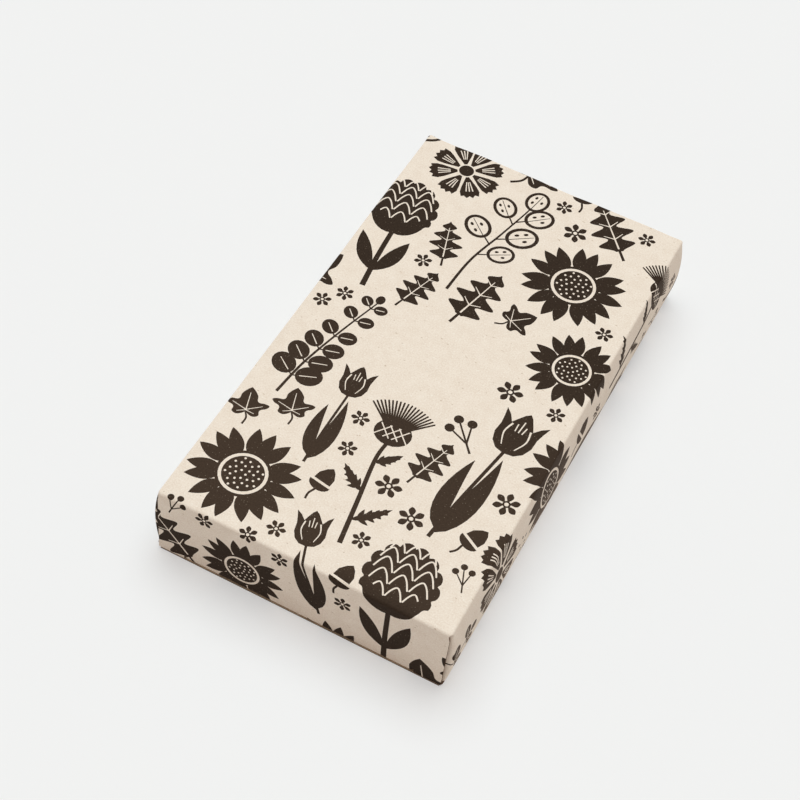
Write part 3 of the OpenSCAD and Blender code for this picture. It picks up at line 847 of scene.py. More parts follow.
# %% Setting out the plants
BY_HAND = [                      # plant, across and along in mm, size, lean in degrees, side
    (sunflower, -38, -88, 1.12, 0, 1), (artichoke, 36, -148, 1.0, 5, 1), (artichoke, -44, 18, 1.0, 9, 1),
    (tulip, 34, -78, 1.1, -5, 1), (sunflower, 30, 62, 1.12, 0, 1), (thistle, 8, -96, 1.15, 4, 1),
    (tulip, -66, -68, 1.05, 6, -1), (sunflower, 70, -28, 1.0, 0, 1), (artichoke, -79, -152, 1.05, 0, 1),
    (honesty, -14, 34, 1.0, -2, 1), (sunflower, -24, -134, 0.9, 0, 1)]
BY_ROOM = [                      # plant, size, most lean in degrees, how many at most
    (magnolia, 1.1, 18, 5), (artichoke, 0.95, 10, 3), (honesty, 1.0, 10, 5), (thistle, 1.05, 12, 5),
    (eucalyptus, 1.05, 12, 5), (tulip, 1.0, 12, 4), (ginkgo, 1.05, 25, 5), (sunflower, 0.95, 30, 4),
    (cosmos, 1.25, 40, 5), (bluebell, 1.0, 8, 4), (fiddlehead, 1.05, 10, 5), (wheat, 0.95, 12, 5),
    (lavender, 1.0, 12, 6), (oak, 1.0, 40, 6), (tulip, 0.8, 14, 5), (sprig, 1.15, 25, 8),
    (ivy, 1.15, 35, 7), (thistle, 0.8, 14, 5), (lavender, 0.8, 14, 6), (cosmos, 0.8, 40, 6),
    (oak, 0.75, 50, 8), (ginkgo, 0.7, 40, 6), (sprig, 0.8, 40, 14), (ivy, 0.75, 50, 12),
    (acorn, 1.0, 30, 12), (berries, 1.2, 40, 20), (starlet, 1.2, 30, 26), (starlet, 0.85, 30, 36),
    (berries, 0.8, 60, 32), (seeds, 0.9, 40, 36)]
BARE = [(-25, -17, 25, 17), (52, -119, 67, -97), (52, 97, 67, 119),      # low and high corners, in mm
        (100, -158, 216, -118), (100, 118, 216, 158)]
LONG_FOLDS = (59.6, 94.6)        # mm across the blank, to both sides of its middle
print_sheet = plant_blank(BY_HAND, BY_ROOM, BARE, LONG_FOLDS, seed=7)
print("the print has", len(print_sheet.shapes), "outlines")

# %% [markdown]
# ## Folding the board
# Every face of the carton is the same flat board, bent along its score lines. So one function takes a
# flat outline and the print, cuts them together into triangles, and sends each point to its place
# in the folded carton. The cut is a constrained triangulation: outline, score lines and print are all
# edges that it must keep, so each triangle is either all ink or all paper, and its middle tells
# which. A "track" is the folded shape seen end on: straight runs and bends, measured along the
# board's outer face.

# %% A track: straight runs and bends
def track(start, *moves):
    """Returns a function from distance along a bent strip to its place and its outward direction."""
    def at(distance):
        (x, y), h, rest = start, 0.0, distance
        for i, (length, turn) in enumerate(moves):
            run = min(rest, length) if i < len(moves) - 1 else rest
            if turn:
                k = radians(turn) / length
                x += (sin(h + k * run) - sin(h)) / k
                y -= (cos(h + k * run) - cos(h)) / k
                h += k * run
            else:
                x += run * cos(h)
                y += run * sin(h)
            rest -= run
            if rest <= 0:
                break
        return x, y, -sin(h), cos(h)
    return at


def clamp(x):
    """Keeps a value between 0 and 1."""
    return min(1.0, max(0.0, x))


quarter = track((0, 0), (pi / 2, -90))
print("a quarter bend of 1 mm ends at", [round(x, 3) for x in quarter(pi / 2)[:2]])

# %% Sizes of the folded board, in mm
BOARD = 0.5                      # thickness of the paperboard
HEIGHT, HALF_LENGTH, BOTTOM_HALF = 35.0, 111.0, 58.8
TOP_END, END_R = 109.8, 1.2      # where the top panel's end folds start, and their outer radius
DUST_FOLD, DUST_R = 108.9, 1.0   # where the dust flaps' folds start, and their outer radius
DUST_LOW, DUST_TOP = 2.3, 33.5   # heights between which a dust flap leaves its wall
WALL_END = 110.2                 # where a wall ends above and below its dust flap
BOW_R, BOW_X, MID_Z = 67.42, -5.42, 17.5    # the arc of the long walls, and its middle
FOLD_R, FOLD_DROP = 1.0, 0.757   # outer radius of the long folds, and how much of it they drop
ENDS = ((-1, "near"), (1, "far"))
CORNERS = [(*end, *side) for end in ENDS for side in ((-1, "left"), (1, "right"))]
print("the carton's half:", HALF_LENGTH, "mm long and", HEIGHT, "mm high")

# %% Tracks round the carton
# the fold turns until it runs into the wall's arc without a crease
bow_start = math.degrees(asin((MID_Z - FOLD_R * FOLD_DROP) / BOW_R))
fold_turn = 90 - bow_start
fold_run = FOLD_R * radians(fold_turn)
half_top = BOW_X + BOW_R * cos(radians(bow_start)) - FOLD_R * sin(radians(fold_turn))
bow_run = BOW_R * radians(2 * bow_start)
cut_turn = bow_start + math.degrees(asin(MID_Z / BOW_R))
wall_top = half_top + fold_run
wall_low = wall_top + bow_run
bottom_start = wall_low + fold_run
bottom_end = bottom_start + half_top + BOTTOM_HALF
left_end = wall_top + BOW_R * radians(cut_turn)
top_moves = (half_top, 0), (fold_run, -fold_turn)
right_track = track((0, HEIGHT), *top_moves, (bow_run, -2 * bow_start), (fold_run, -fold_turn),
                    (bottom_end - bottom_start, 0))
left_track = track((0, HEIGHT), *top_moves, (left_end - wall_top, -cut_turn))


def along_wall(z):
    """Distance across the blank at which a wall is at height z."""
    return wall_top + BOW_R * (radians(bow_start) - asin((z - MID_Z) / BOW_R))


dust_from, dust_to = along_wall(DUST_TOP), along_wall(DUST_LOW)
print("half the top is", round(half_top, 2), "mm, a wall is", round(bow_run, 2), "mm along its bow")


# %% How the board gives
SAG = 0.22                       # mm, about the middle of the top
HAIR = 0.001                     # mm, within which a point still belongs to the corner's edge


def ripple(u, v):
    """How far the top sags, in mm: thin board lies a little wavy between its folds."""
    if abs(u) >= half_top or abs(v) >= TOP_END:
        return 0.0
    fade = (1 - (u / half_top) ** 2) * (1 - (v / TOP_END) ** 2)
    return SAG * fade ** 0.5 * (1 + 0.6 * sin(v / 17 + u / 40) * cos(u / 21 - v / 60))


def pressed(u, v):
    """The folds are pressed in unevenly by handling: how far a point moves, in mm."""
    # the press is deepest half way round each fold, and fades within 2 mm of there
    from_end = abs(v) - (TOP_END + END_R * pi / 4)
    from_side = abs(u) - (half_top + fold_run / 2)
    at_end = exp(-(from_end / 2.4) ** 2) * clamp((half_top + 1 - abs(u)) / 4)
    at_side = exp(-(from_side / 1.8) ** 2) * clamp((TOP_END - abs(v)) / 6)
    at_end *= max(0.0, 0.24 + 0.16 * sin(u / 10 + 0.8) + 0.09 * sin(u / 4.3))
    at_side *= max(0.0, 0.14 + 0.1 * sin(v / 15) + 0.06 * sin(v / 6.1 + 2))
    return Vector((copysign(at_side, -u), copysign(at_end, -v), -at_end - at_side)) * 0.7


def end_bend(u):
    """Where the board starts to turn in at an end, and with what outer radius."""
    share = clamp((abs(u) - half_top) / (dust_from - half_top))
    return TOP_END + (DUST_FOLD - TOP_END) * share, END_R + (DUST_R - END_R) * share


def on_sleeve(u, v, depth):
    """Sends a point of the flat sleeve, and a depth in the board, to its folded place."""
    side = 1 if u >= 0 else -1
    x, z, nx, nz = (right_track if u >= 0 else left_track)(abs(u))
    start, radius = end_bend(u)
    turn = max(0.0, abs(v) - start) / radius if abs(u) < dust_from + HAIR else 0.0
    inward = radius * (1 - cos(turn)) + depth * cos(turn)
    y = start + (radius - depth) * sin(turn) if turn else abs(v)
    flat = Vector((side * (x - inward * nx), copysign(y, v), z - inward * nz - ripple(u, v)))
    return flat + pressed(u, v)


print("the middle of the top sags", round(HEIGHT - on_sleeve(0, 0, 0).z, 2), "mm")


# %% Cutting a piece of board
def scores(lines_across, lines_along, reach):
    """Straight lines on the blank that the triangles must keep, so that they bend there."""
    return ([((u, -reach), (u, reach)) for u in lines_across]
            + [((-reach, v), (reach, v)) for v in lines_along])


def steps(low, high, spacing):
    """Evenly spaced values from low to high."""
    count = max(1, round((high - low) / spacing))
    return [low + (high - low) * i / count for i in range(count + 1)]


WELD = 1e-4                      # mm, points closer than this become one


def cut(outline, lines, prints):
    """Triangles of a flat outline: points, then corners with 1 for ink and 0 for paper."""
    points, edges = [], []

    def lay(loop, closed=True):
        first, count = len(points), len(loop)
        points.extend(Vector(p) for p in loop)
        edges.extend((first + i, first + (i + 1) % count) for i in range(count if closed else count - 1))

    low, high = box_of(outline)
    prints = [(loop, is_ink) for loop, is_ink in prints if all(
        max(p[i] for p in loop) > low[i] and min(p[i] for p in loop) < high[i] for i in (0, 1))]
    for loop in (outline, *(loop for loop, _ in prints)):
        lay(loop)
    for line in lines:
        lay(line, closed=False)
    flat, _, corners, *_ = delaunay_2d_cdt(points, edges, [], 0, WELD, False)
    flat, corners = np.array([tuple(p) for p in flat]), np.array(corners)
    middle = flat[corners].mean(1)
    kept = inside(outline, *middle.T)
    corners, middle = corners[kept], middle[kept]
    marks = np.zeros(len(corners), int)
    for loop, is_ink in prints:
        low, high = np.min(loop, 0), np.max(loop, 0)
        close = np.nonzero(((middle > low) & (middle < high)).all(1))[0]
        marks[close[inside(loop, *middle[close].T)]] = is_ink
    return flat.tolist(), list(zip(corners.tolist(), marks.tolist()))


trial = cut([(0, 0), (4, 0), (4, 2), (0, 2)], scores([2], [], 9),
            [([(1, 0.5), (3, 0.5), (3, 1.5)], True)])
print("a small trial piece is cut into", len(trial[1]), "triangles")

# %% Folding a piece of board
FACES = (paperboard, ink, reverse, edge_pulp_and_shade)
INSIDE, EDGE = 2, 3              # places of the reverse and the raw edge in FACES; the cut gives 0 and 1
NUDGE = 0.02                     # mm between the points that a slope is taken from


def folded_board(name, outline, lines, place):
    """A piece of board: printed outside, plain inside, with raw edges."""
    points, corners, marks, maps, normals = [], [], [], [], []

    def normal_at(u, v):
        """The outward direction, from how the place changes across and along."""
        across = place(u + NUDGE, v, 0) - place(u - NUDGE, v, 0)
        along = place(u, v + NUDGE, 0) - place(u, v - NUDGE, 0)
        return across.cross(along).normalized()

    def skin(flat, triangles, depth):
        """Adds one face of the board at a depth below the outside."""
        first = len(points)
        used = sorted({i for c, _ in triangles for i in c})
        index = {i: first + k for k, i in enumerate(used)}
        for i in used:
            n = normal_at(*flat[i])
            points.append(place(*flat[i], depth) * MM)
            normals.append(n if depth == 0 else -n)
            maps.append(flat[i])
        for c, mark in triangles:
            ids = [index[i] for i in c]
            corners.append(ids if depth == 0 else ids[::-1])
            marks.append(mark if depth == 0 else INSIDE)

    flat, triangles = cut(outline, lines, print_sheet.shapes)
    skin(flat, triangles, 0)
    # an edge that no triangle runs the other way lies on the rim, which is followed round
    ways = {(c[i - 1], c[i]) for c, _ in triangles for i in range(3)}
    after = {i: j for i, j in ways if (j, i) not in ways}
    rim = [min(after)]
    while after[rim[-1]] != rim[0]:
        rim.append(after[rim[-1]])
    rim = [flat[i] for i in rim]
    for a, b in zip(rim, rim[1:] + rim[:1]):
        quad = [place(*a, BOARD), place(*b, BOARD), place(*b, 0), place(*a, 0)]
        n = (quad[1] - quad[0]).cross(quad[3] - quad[0]).normalized()
        corners.append(list(range(len(points), len(points) + 4)))
        marks.append(EDGE)
        points.extend(p * MM for p in quad)
        normals.extend([n] * 4)
        maps.extend((a, b, b, a))
    skin(*cut(rim, lines, []), BOARD)

    mesh = new_mesh(name, points, corners, *FACES)
    mesh.polygons.foreach_set("material_index", marks)
    mesh.shade_smooth()
    layer = mesh.uv_layers.new(name="blank")
    layer.data.foreach_set(
        "uv", [maps[v][i] / BLANK_MM + BLANK_SHIFT for c in corners for v in c for i in (0, 1)])
    mesh.normals_split_custom_set_from_vertices(normals)
    piece = put_in(name, mesh)
    print(f"{name}: {len(points)} points, {len(corners)} faces")
    return piece


# %% [markdown]
# ### The sleeve
# Top, both long walls and the underside are one strip of board wrapped round the press. The walls
# bulge by 2 mm, because the board was folded round something a little too full for it. In the
# photograph this shows as a soft curve in the carton's right side. The wall's ends stop short where
# the dust flaps' folds begin. At the four top corners the board is pressed round, so that the print
# runs over them with no gap.

# %% The sleeve
CORNER_TURN = radians(75)   # how far the rounded corners turn in
PAST_EDGE = 160                  # mm from the middle, beyond every edge of the blank
PAST_WALL = 115                  # mm from the middle, beyond the walls' ends
CREASED = 104                    # mm from the middle, from where the top keeps a finer grid
FLAT_STEP, BEND_STEP = 6, 0.25   # mm between the lines kept on flat board and in a tight bend

bends = (steps(half_top, wall_top, BEND_STEP) + steps(wall_top, dust_from, 2)
         + steps(dust_from, dust_to, 2.2) + steps(dust_to, wall_low, 1)
         + steps(wall_low, bottom_start, BEND_STEP))
left_bends = [u for u in bends if u <= wall_low] + steps(wall_low, left_end, 1)
corner_ends = [(u, -end_bend(u)[0] - end_bend(u)[1] * CORNER_TURN) for u in (half_top, dust_from)]
near_right = [(half_top, -TOP_END), *corner_ends, (dust_from, -DUST_FOLD), (dust_to, -DUST_FOLD),
              (dust_to, -WALL_END)]
near_edge = ([(-left_end, -WALL_END)] + [(-u, v) for u, v in near_right[::-1]] + near_right
             + [(bottom_start, -WALL_END), (bottom_start, -HALF_LENGTH), (bottom_end, -HALF_LENGTH)])
# the top and the underside keep a coarse grid, and the corners a fine one
sleeve_lines = (scores(bends + [-u for u in left_bends], [], PAST_WALL)
                + [((u, -TOP_END), (u, TOP_END)) for u in steps(-half_top, half_top, FLAT_STEP)]
                + [((-half_top, v), (half_top, v)) for v in steps(-TOP_END, TOP_END, FLAT_STEP)]
                + [((-wall_top, v), (wall_top, v)) for e in (-1, 1)
                   for v in steps(e * CREASED, e * TOP_END, 0.9)]
                + [((s * half_top, e * v), (s * dust_from, e * v)) for s in (-1, 1) for e in (-1, 1)
                   for v in steps(DUST_FOLD, 111.4, 0.27)])
sleeve = folded_board("carton_sleeve", near_edge + [(u, -v) for u, v in near_edge[::-1]],
                      sleeve_lines, on_sleeve)
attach(sleeve, "carton")
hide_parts("carton_top_panel", "carton_bottom_panel", "carton_left_wall", "carton_right_wall")

# %% [markdown]
# ### The end flaps and their tongues
# Each end closes with a flap that hangs from the top panel's fold, and a tongue that tucks in behind
# the underside. Two short slits catch the dust flaps when it shuts. The flap is one piece with its
# fold, and is built bent round it, in its shut place.

# %% How an end is folded
TUCK_R, TUCK_TILT, TONGUE = 1.0, 12, 8.5
SHOULDER = 2.5                   # mm down from the fold over which the flap widens
FLAP_HALF, SLIT, SLIT_W, TONGUE_HALF = 59.5, 48.0, 1.0, 57.5
FLAP_LOW, SLIT_TOP = 0.8, 2.4
end_run = END_R * pi / 2
hang = HEIGHT - END_R - FLAP_LOW - TUCK_R
tuck_run = TUCK_R * radians(90 + TUCK_TILT)
flap_track = track((TOP_END, HEIGHT), (end_run, -90), (hang + TUCK_R, 0))
tongue_track = track((TOP_END, HEIGHT), (end_run, -90), (hang, 0), (tuck_run, -90 - TUCK_TILT),
                     (TONGUE, 0))


def at_end(end, bent, dent):
    """Sends a point of the blank beyond the top's end to its place on a track of Y and Z."""
    def place(u, v, depth):
        y, z, ny, nz = bent(end * v - TOP_END)
        return Vector((u, end * (y - depth * ny - dent(u, z)), z - depth * nz)) + pressed(u, v)
    return place


DENT, DENT_SPAN = 0.12, 33       # mm: how deep the flap bellies in, and over what height


def flap_dent(u, z):
    """The hanging flap bellies in a little between its edges, in mm."""
    rise = max(0.0, sin(pi * (z - FLAP_LOW) / DENT_SPAN))
    return DENT * (max(0.0, 1 - (u / FLAP_HALF) ** 2) * rise) * (1 + 0.7 * sin(u / 13))


print("a flap hangs", round(hang, 2), "mm between its folds")


# %% Outlines of a flap and a tongue
def rounded(loop, corner, radius, count=6):
    """Rounds one corner of a loop."""
    p, a, b = (Vector(loop[i % len(loop)]) for i in (corner, corner - 1, corner + 1))
    one, other = (a - p).normalized(), (b - p).normalized()
    half = one.angle(other) / 2
    middle = p + (one + other).normalized() * radius / sin(half)
    first, last = p + one * radius / tan(half), p + other * radius / tan(half)
    arm, sweep = first - middle, (first - middle).angle_signed(last - middle)
    turned = [middle + Matrix.Rotation(-sweep * i / count, 2) @ arm for i in range(count + 1)]
    return loop[:corner] + [tuple(q) for q in turned] + loop[corner + 1:]


def both_sides(half):
    """A loop from its right half."""
    return half + [(-u, v) for u, v in half[::-1]]


tuck_start = end_run + hang
tuck_end, flap_end = tuck_start + tuck_run, tuck_start + TUCK_R
neck, slit_out, slit_in = SLIT - SLIT_W / 2, SLIT + SLIT_W / 2, flap_end - (SLIT_TOP - FLAP_LOW)
# across, and along from the start of the end fold
flap_outline = both_sides([
    (half_top, 0), (half_top, end_run), (FLAP_HALF, end_run + SHOULDER), (FLAP_HALF, flap_end),
    (slit_out, flap_end), (slit_out, slit_in), (neck, slit_in), (neck, tuck_start)])
tongue_outline = both_sides([
    (neck, tuck_start), (neck, tuck_end), (TONGUE_HALF, tuck_end), (TONGUE_HALF, tuck_end + TONGUE)])
tongue_outline = rounded(rounded(tongue_outline, 4, 5), 3, 5)
print("a flap's outline has", len(flap_outline), "points, and a tongue's", len(tongue_outline))


# %% End flaps and tongues
def end_board(name, end, outline, across, along, bent, dent):
    """Folds a piece whose outline and lines along it are measured from the start of the end fold."""
    return folded_board(name, [(u, end * (TOP_END + d)) for u, d in outline],
                        scores(across, [end * (TOP_END + d) for d in along], PAST_EDGE),
                        at_end(end, bent, dent))


flap_lines = steps(0, end_run, BEND_STEP) + steps(end_run, 6, 0.8) + steps(6, flap_end, FLAT_STEP)
tongue_lines = steps(tuck_start, tuck_end, 0.3)
for end, name in ENDS:
    flap = end_board(f"{name}_end_flap_board", end, flap_outline, steps(-half_top, half_top, FLAT_STEP),
                     flap_lines, flap_track, flap_dent)
    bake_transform(flap)
    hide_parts(f"{name}_end_flap")

    tongue = end_board(f"{name}_tongue_board", end, tongue_outline, [], tongue_lines, tongue_track,
                       lambda u, z: 0.0)
    y, z, _, _ = tongue_track(tuck_end)
    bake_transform(tongue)
    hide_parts(f"{name}_tuck_tongue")

# %% [markdown]
# ### The dust flaps
# Four small flaps fold in from the long walls, behind each end flap. Their fold follows the wall's
# bulge, so its pale rounded rim shows beside the end flap's cut edge, as it does in the photograph.

# %% Dust flaps
DUST_REACH = 32.0
dust_run = DUST_R * pi / 2
dust_lines = steps(0, dust_run, 0.3) + steps(dust_run, dust_run + 4.4, 0.4)
dust_track = track((DUST_FOLD, 0), (dust_run, -90), (DUST_REACH, 0))


def at_dust(side, end):
    """Sends a point of the blank beyond a wall's end to its place on a dust flap."""
    def place(u, v, depth):
        x, z, nx, nz = right_track(abs(u))
        y, inward, ny, nin = dust_track(end * v - DUST_FOLD)
        # the board's thickness lies across the wall before the fold, and along the carton after it
        return Vector((side * (x + inward - depth * nin), end * (y - depth * ny), z)) + pressed(u, v)
    return place


# a flap's upper edge slants by 29 degrees and its lower one by 3, as they are die-cut
tip_top = DUST_TOP - DUST_REACH * tan(radians(29))
tip_low = DUST_LOW + DUST_REACH * tan(radians(3))
dust_end = dust_run + DUST_REACH - DUST_R
dust_outline = [(dust_from, 0), (dust_from, dust_run), (along_wall(tip_top), dust_end),
                (along_wall(tip_low), dust_end), (dust_to, dust_run), (dust_to, 0)]
dust_outline = rounded(rounded(dust_outline, 3, 3), 2, 3)
for end, end_name, side, side_name in CORNERS:
    name = f"{end_name}_{side_name}_dust_flap"
    flap = folded_board(
        name + "_board", [(side * u, end * (DUST_FOLD + d)) for u, d in dust_outline],
        scores([side * u for u in steps(dust_from, dust_to, 2.2)],
               [end * (DUST_FOLD + d) for d in dust_lines], PAST_EDGE),
        at_dust(side, end))
    # the bend runs purely across the carton, so that both faces of the board turn alike
    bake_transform(flap)
    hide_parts(name)

# %% [markdown]
# ## Birch plywood
# The press boards are sanded birch plywood: thin veneers glued with their grain crossed in turn. A
# solid pattern suits it, because the same layers then show as stripes on every edge and as grain on
# the faces. Birch is pale and even, with fine pores and a faint flame.

# %% Plywood
plywood, shader = new_material("sanded_birch_plywood", 0.6, specular_ior_level=0.35)
where = add(plywood, "TexCoord").outputs["Object"]
axes = add(plywood, "SeparateXYZ", {0: where})
# five veneers of 1 mm in a 5 mm board
layer = add(plywood, "Math", {0: axes.outputs["Z"], 1: 1 / (2 * MM)}, operation="MULTIPLY")
part = add(plywood, "Math", {0: layer}, operation="FRACT")
crossed = add(plywood, "MapRange", {0: part, 1: 0.49, 2: 0.51})
# growth rings drift about 9 mm apart, and pores are 0.3 mm wide and 4 mm long
grain = []
for turn in (0, 90):
    lying = add(plywood, "Mapping", {"Vector": where, "Rotation": (0, 0, radians(turn))})
    drawn = add(plywood, "Mapping", {"Vector": lying,
                                     "Scale": (1 / (9 * MM), 1 / (90 * MM), 1 / (9 * MM))})
    rings = add(plywood, "TexNoise", {"Vector": drawn, "Scale": 1.0, "Detail": 3.0, "Distortion": 1.2})
    fine = add(plywood, "Mapping", {"Vector": lying,
                                    "Scale": (1 / (0.5 * MM), 1 / (5 * MM), 1 / (0.5 * MM))})
    pores = add(plywood, "TexNoise", {"Vector": fine, "Scale": 1.0, "Detail": 2.0})
    late = add(plywood, "MapRange", {0: rings, 1: 0.3, 2: 0.7})
    tone = add(plywood, "Mix", {0: late, 6: linear("#E8D2AC"), 7: linear("#DBC094")}, data_type="RGBA")
    open_pore = add(plywood, "MapRange", {0: pores, 1: 0.52, 2: 0.75, 4: 0.4})
    grain.append(add(plywood, "Mix", {0: open_pore, 6: tone, 7: linear("#B08C5E")}, data_type="RGBA"))
flat_face = add(plywood, "SeparateXYZ", {0: add(plywood, "NewGeometry").outputs["Normal"]})
upward = add(plywood, "Math", {0: flat_face.outputs["Z"]}, operation="ABSOLUTE")
on_edge = add(plywood, "MapRange", {0: upward, 1: 0.8, 2: 0.5})
end_grain = add(plywood, "Mix", {0: crossed, 6: linear("#DEC293"), 7: linear("#9C7346")},
                data_type="RGBA")
veneer = add(plywood, "Mix", {0: on_edge, 6: grain[0], 7: end_grain}, data_type="RGBA")
sanded = add(plywood, "Bump", {"Height": pores, "Strength": 0.15, "Distance": 0.05 * MM})
feed(plywood, shader, base_color=veneer, normal=sanded)
print("plywood:", len(plywood.node_tree.nodes), "nodes")

# %% [markdown]
# ## Zinc-plated steel
# Bolts, washers and wing nuts are steel with a bright zinc coat. It is a smooth, slightly bluish
# metal. Tumbling in the plating barrel leaves it a little cloudy, with fine rubs, so the gloss varies
# more than the colour does.

# %% Bright zinc plate
zinc, shader = new_material("bright_zinc_plate", 0.32, metallic=1.0)
where = add(zinc, "TexCoord").outputs["Object"]
# clouds are about 3 mm across, and rubs about 0.3 mm
cloud = add(zinc, "TexNoise", {"Vector": where, "Scale": 1 / (3 * MM), "Detail": 2.0})
rubs = add(zinc, "TexNoise", {"Vector": where, "Scale": 1 / (0.3 * MM), "Detail": 3.0})
cloudy = add(zinc, "MapRange", {0: cloud, 1: 0.3, 2: 0.7})
tone = add(zinc, "Mix", {0: cloudy, 6: linear("#C2C5C8"), 7: linear("#CFD1D2")}, data_type="RGBA")
gloss = add(zinc, "MapRange", {0: rubs, 1: 0.3, 2: 0.7, 3: 0.27, 4: 0.37})
rubbed = add(zinc, "Bump", {"Height": rubs, "Strength": 0.08, "Distance": 0.02 * MM})
feed(zinc, shader, base_color=tone, roughness=gloss, normal=rubbed)
print("zinc:", len(zinc.node_tree.nodes), "nodes")

# %% [markdown]
# ## The layers between the boards
# Brown corrugated cards let air through, and soft white blotting paper lies between them and takes
# the flowers' moisture. Both are plain papers: one hard and ribbed, the other like felt.

# %% Corrugated card and blotting paper
# soft clots of fibre, about 1.5 mm across
blotting, *_ = clotted("unsized_blotting_paper", 0.97, 0.15, 1.5, (linear("#EFEBE0"), linear("#E2DCCD")),
                       0.5, 0.1)
corrugated, shader, where, tone = clotted(
    "brown_corrugated_card", 0.92, 0.2, 1.2, (linear("#A47E55"), linear("#BD9A70")), 0.4, 0.08)
# faint stripes press through the brown liner, one for every second flute; at a scale of 1 the
# stripes of a wave are pi / 10 units apart
FLUTE = 3.5                      # mm from one flute to the next
stripes = add(corrugated, "TexWave", {"Vector": where, "Scale": 1 / (FLUTE * MM) / 10 * pi / 2,
                                      "Distortion": 0.5, "Detail": 1.0}, bands_direction="X")
share = add(corrugated, "MapRange", {0: stripes, 1: 0.0, 2: 1.0, 4: 0.25})
striped = add(corrugated, "Mix", {0: share, 6: tone, 7: linear("#8E6A44")}, data_type="RGBA")
feed(corrugated, shader, base_color=striped)
print("inside the carton:", [m.name for m in (plywood, zinc, corrugated, blotting)])

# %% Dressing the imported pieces
finishes = {"base_board": plywood, "top_board": plywood, "washer": zinc, "wing": zinc,
            "corrugated": corrugated, "blotting": blotting, "carton_glue": tab_board}
for name, piece in nodes.items():
    for start, material in finishes.items():
        if name.startswith(start):
            piece.data.materials.clear()
            piece.data.materials.append(material)
    if name.startswith(("wing", "washer")) or name in ("base_board", "top_board"):
        # sharp machine edges are broken by 0.2 to 0.3 mm on the real pieces
        soft = piece.modifiers.new("broken_edges", "BEVEL")
        soft.width = (0.3 if name.startswith("wing") else 0.2) * MM
        soft.segments = 2
        soft.limit_method = "ANGLE"
        soft.angle_limit = radians(40)
print(sum(bool(piece.modifiers) for piece in nodes.values()), "packed pieces have broken edges")

# %% [markdown]
# ## Coach bolts
# A coach bolt has a low domed head, a square neck that bites into the wood and a thread rolled over
# its whole length. Solids that are round or drawn out are easy to make from rings of points: a lathed
# form has rings about its axis, a prism has two rings, and a thread is one small triangle carried up a
# helix. One function joins any such rings into a closed shell, and a bolt is four shells.

# %% Shells from rings of points
def shell(rings, points, faces):
    """Joins rings with the same number of points, and closes both ends."""
    first, count = len(points), len(rings[0])
    for ring in rings:
        points.extend(ring)
    for i in range(len(rings) - 1):
        for j in range(count):
            a, b = first + i * count + j, first + i * count + (j + 1) % count
            faces.append((a, b, b + count, a + count))
    faces.append(tuple(range(first + count - 1, first - 1, -1)))
    faces.append(tuple(range(len(points) - count, len(points))))


def lathed(profile, sides, turned=0.0):
    """Rings about the axis, one for each radius and height."""
    return [[(*polar(r, 360 * (k + turned) / sides), z) for k in range(sides)] for r, z in profile]


print("a ring of 4 is square:", [[round(x, 1) for x in p] for p in lathed([(1, 0)], 4)[0]])

# %% A coach bolt's head, neck and shank
PITCH, SHANK_R, CORE_R, HEAD_TOP = 0.8, 2.5, 2.1, 3.5
NECK, TIP = 2.5, 28.5            # heights in mm: the neck's own, and the tip's above the floor
DOME_R, DOME_Z = 8.2, 8.5        # sphere of the domed head
neck_top, square = HEAD_TOP + NECK, SHANK_R * sqrt(2)
dome = [(r, DOME_Z - sqrt(DOME_R ** 2 - r * r)) for r in (1.8, 2.8, 3.8, 4.8, 5.6, 6.2, 6.5)]
bolt_points, bolt_faces = [], []
# the shank starts inside the neck, and its tip is narrowed over the last 0.5 mm
for profile, sides, turned in (
        (dome + [(6.4, HEAD_TOP), (2.0, HEAD_TOP)], 40, 0.0),
        ([(square, HEAD_TOP), (square, neck_top - 0.4), (square - 0.5, neck_top)], 4, 0.5),
        ([(CORE_R, HEAD_TOP + 1), (CORE_R, TIP - 0.5), (CORE_R - 0.5, TIP)], 24, 0.0)):
    shell(lathed(profile, sides, turned), bolt_points, bolt_faces)
print("without its thread a bolt has", len(bolt_faces), "faces")

# %% The rolled thread
PER_TURN, ROOT, RISE_FROM = 20, CORE_R - 0.05, CORE_R + 0.02
low = neck_top - 0.5
turns = (TIP - 0.75 - low) / PITCH
thread = []
for k in range(int(turns * PER_TURN) + 1):
    z = low + PITCH * k / PER_TURN
    # the ridge rises over the first half turn and dies away over the last one
    rise = clamp(min(k / PER_TURN, turns - k / PER_TURN) * 2)
    crest = RISE_FROM + (SHANK_R - CORE_R - 0.02) * rise
    thread.append([(*polar(r, 360 * k / PER_TURN), z + dz * PITCH)
                   for r, dz in ((ROOT, -0.46), (crest, -0.06), (crest, 0.06), (ROOT, 0.46))])
shell(thread, bolt_points, bolt_faces)
print("a bolt has", len(bolt_faces), "faces and", round(turns, 1), "turns of thread")

# %% Four bolts
BOLT_X, BOLT_Y = 45, 93          # mm from the middle
bolt_mesh = new_mesh("coach_bolt", [Vector(p) * MM for p in bolt_points], bolt_faces, zinc)
bolt_mesh.shade_smooth()
bolt_mesh.set_sharp_from_angle(angle=radians(35))
for end, end_name, side, side_name in CORNERS:
    bolt = put_in(f"coach_bolt_{end_name}_{side_name}", bolt_mesh)
    bolt.location = (side * BOLT_X * MM, end * BOLT_Y * MM, 0)
    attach(bolt, "carton")
    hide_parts(f"bolt_{end_name}_{side_name}")
print("bolts stand", 2 * BOLT_X, "by", 2 * BOLT_Y, "mm apart")

# %% [markdown]
# ## The floor and the light
# The carton lies on a white sweep under one very large softbox, which hangs overhead and a little
# towards the carton's far left. Its shadow is dark only close to the near end and the right wall, and
# is gone within 30 mm. A sun lamp with a wide disc gives the same light with no fall-off, so the whole
# floor stays even from every side. The room fills the rest: it is the world's colour, a little warm,
# and much brighter where it is looked at, as the pale backdrop of a studio is. Backdrops are lit by
# lamps of their own, so the floor too gives the camera part of its look as a steady pale grey.

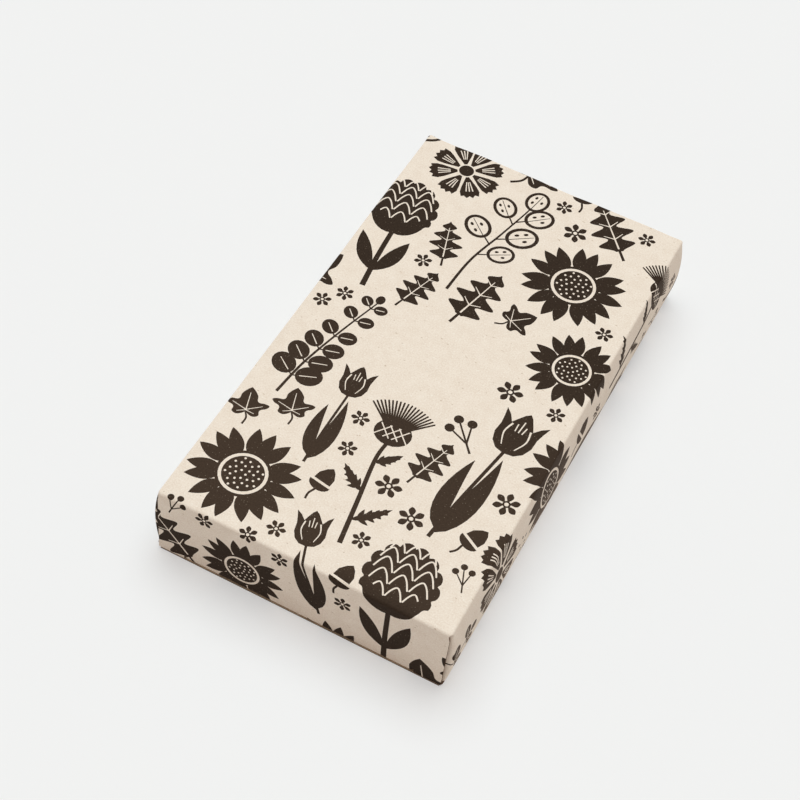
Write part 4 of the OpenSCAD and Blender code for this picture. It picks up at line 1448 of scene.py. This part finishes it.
# %% The floor
FLOOR_HALF, FLOOR_Z = 12.0, -0.0002      # metres; it lies just under the carton
OWN_LIGHT = 0.45                 # the share of its look that the floor has as a steady grey
sweep, shader = new_material("matt_white_sweep", 0.95, specular_ior_level=0.1,
                             base_color=linear("#F1F1F1"))


def seen_directly(material):
    """1 where the camera, a reflection or a clear material looks, and 0 for the light's own paths."""
    rays = add(material, "LightPath")
    seen = add(material, "Math", {0: rays.outputs["Is Camera Ray"], 1: rays.outputs["Is Glossy Ray"]},
               operation="MAXIMUM")
    return add(material, "Math", {0: seen, 1: rays.outputs["Is Transmission Ray"]}, operation="MAXIMUM")


share = add(sweep, "Math", {0: seen_directly(sweep), 1: OWN_LIGHT}, operation="MULTIPLY")
glow = add(sweep, "Emission", {"Color": linear("#F2F2F2"), "Strength": 1.0})
blend = add(sweep, "MixShader", {0: share, 1: shader.outputs["BSDF"], 2: glow})
sweep.node_tree.links.new(blend.outputs[0], sweep.node_tree.nodes["Material Output"].inputs["Surface"])
floor_points = [(x * FLOOR_HALF, y * FLOOR_HALF, FLOOR_Z)
                for x, y in ((-1, -1), (1, -1), (1, 1), (-1, 1))]
floor = put_in("floor", new_mesh("floor", floor_points, [(0, 1, 2, 3)], sweep))
print("the floor reaches", FLOOR_HALF, "m each way")

# %% The room
ROOM, BACKDROP = 0.39, 0.9       # strength of the room's light, and of the room where it is looked at
world = bpy.data.worlds.new("studio")
bpy.context.scene.world = world
world.use_nodes = True
room = world.node_tree.nodes["Background"]
seen = seen_directly(world)
strength = add(world, "MapRange", {0: seen, 3: ROOM, 4: BACKDROP})
tint = add(world, "Mix", {0: seen, 6: linear("#FFEADC"), 7: linear("#FDFDFD")}, data_type="RGBA")
world.node_tree.links.new(strength.outputs[0], room.inputs["Strength"])
world.node_tree.links.new(tint.outputs[2], room.inputs["Color"])
print("the room's light:", len(world.node_tree.nodes), "nodes")

# %% The softbox
softbox = put_in("softbox", bpy.data.lights.new("softbox", "SUN"))
softbox.data.energy = 2.34
softbox.data.angle = radians(52)
softbox.data.color = linear("#EEFBFF")[:3]
softbox.rotation_mode = "QUATERNION"
softbox.rotation_quaternion = Vector((-0.14, 0.27, 1)).to_track_quat("Z", "Y")
bpy.context.scene.view_settings.view_transform = "Standard"
print("the softbox spans", round(math.degrees(softbox.data.angle)), "degrees")
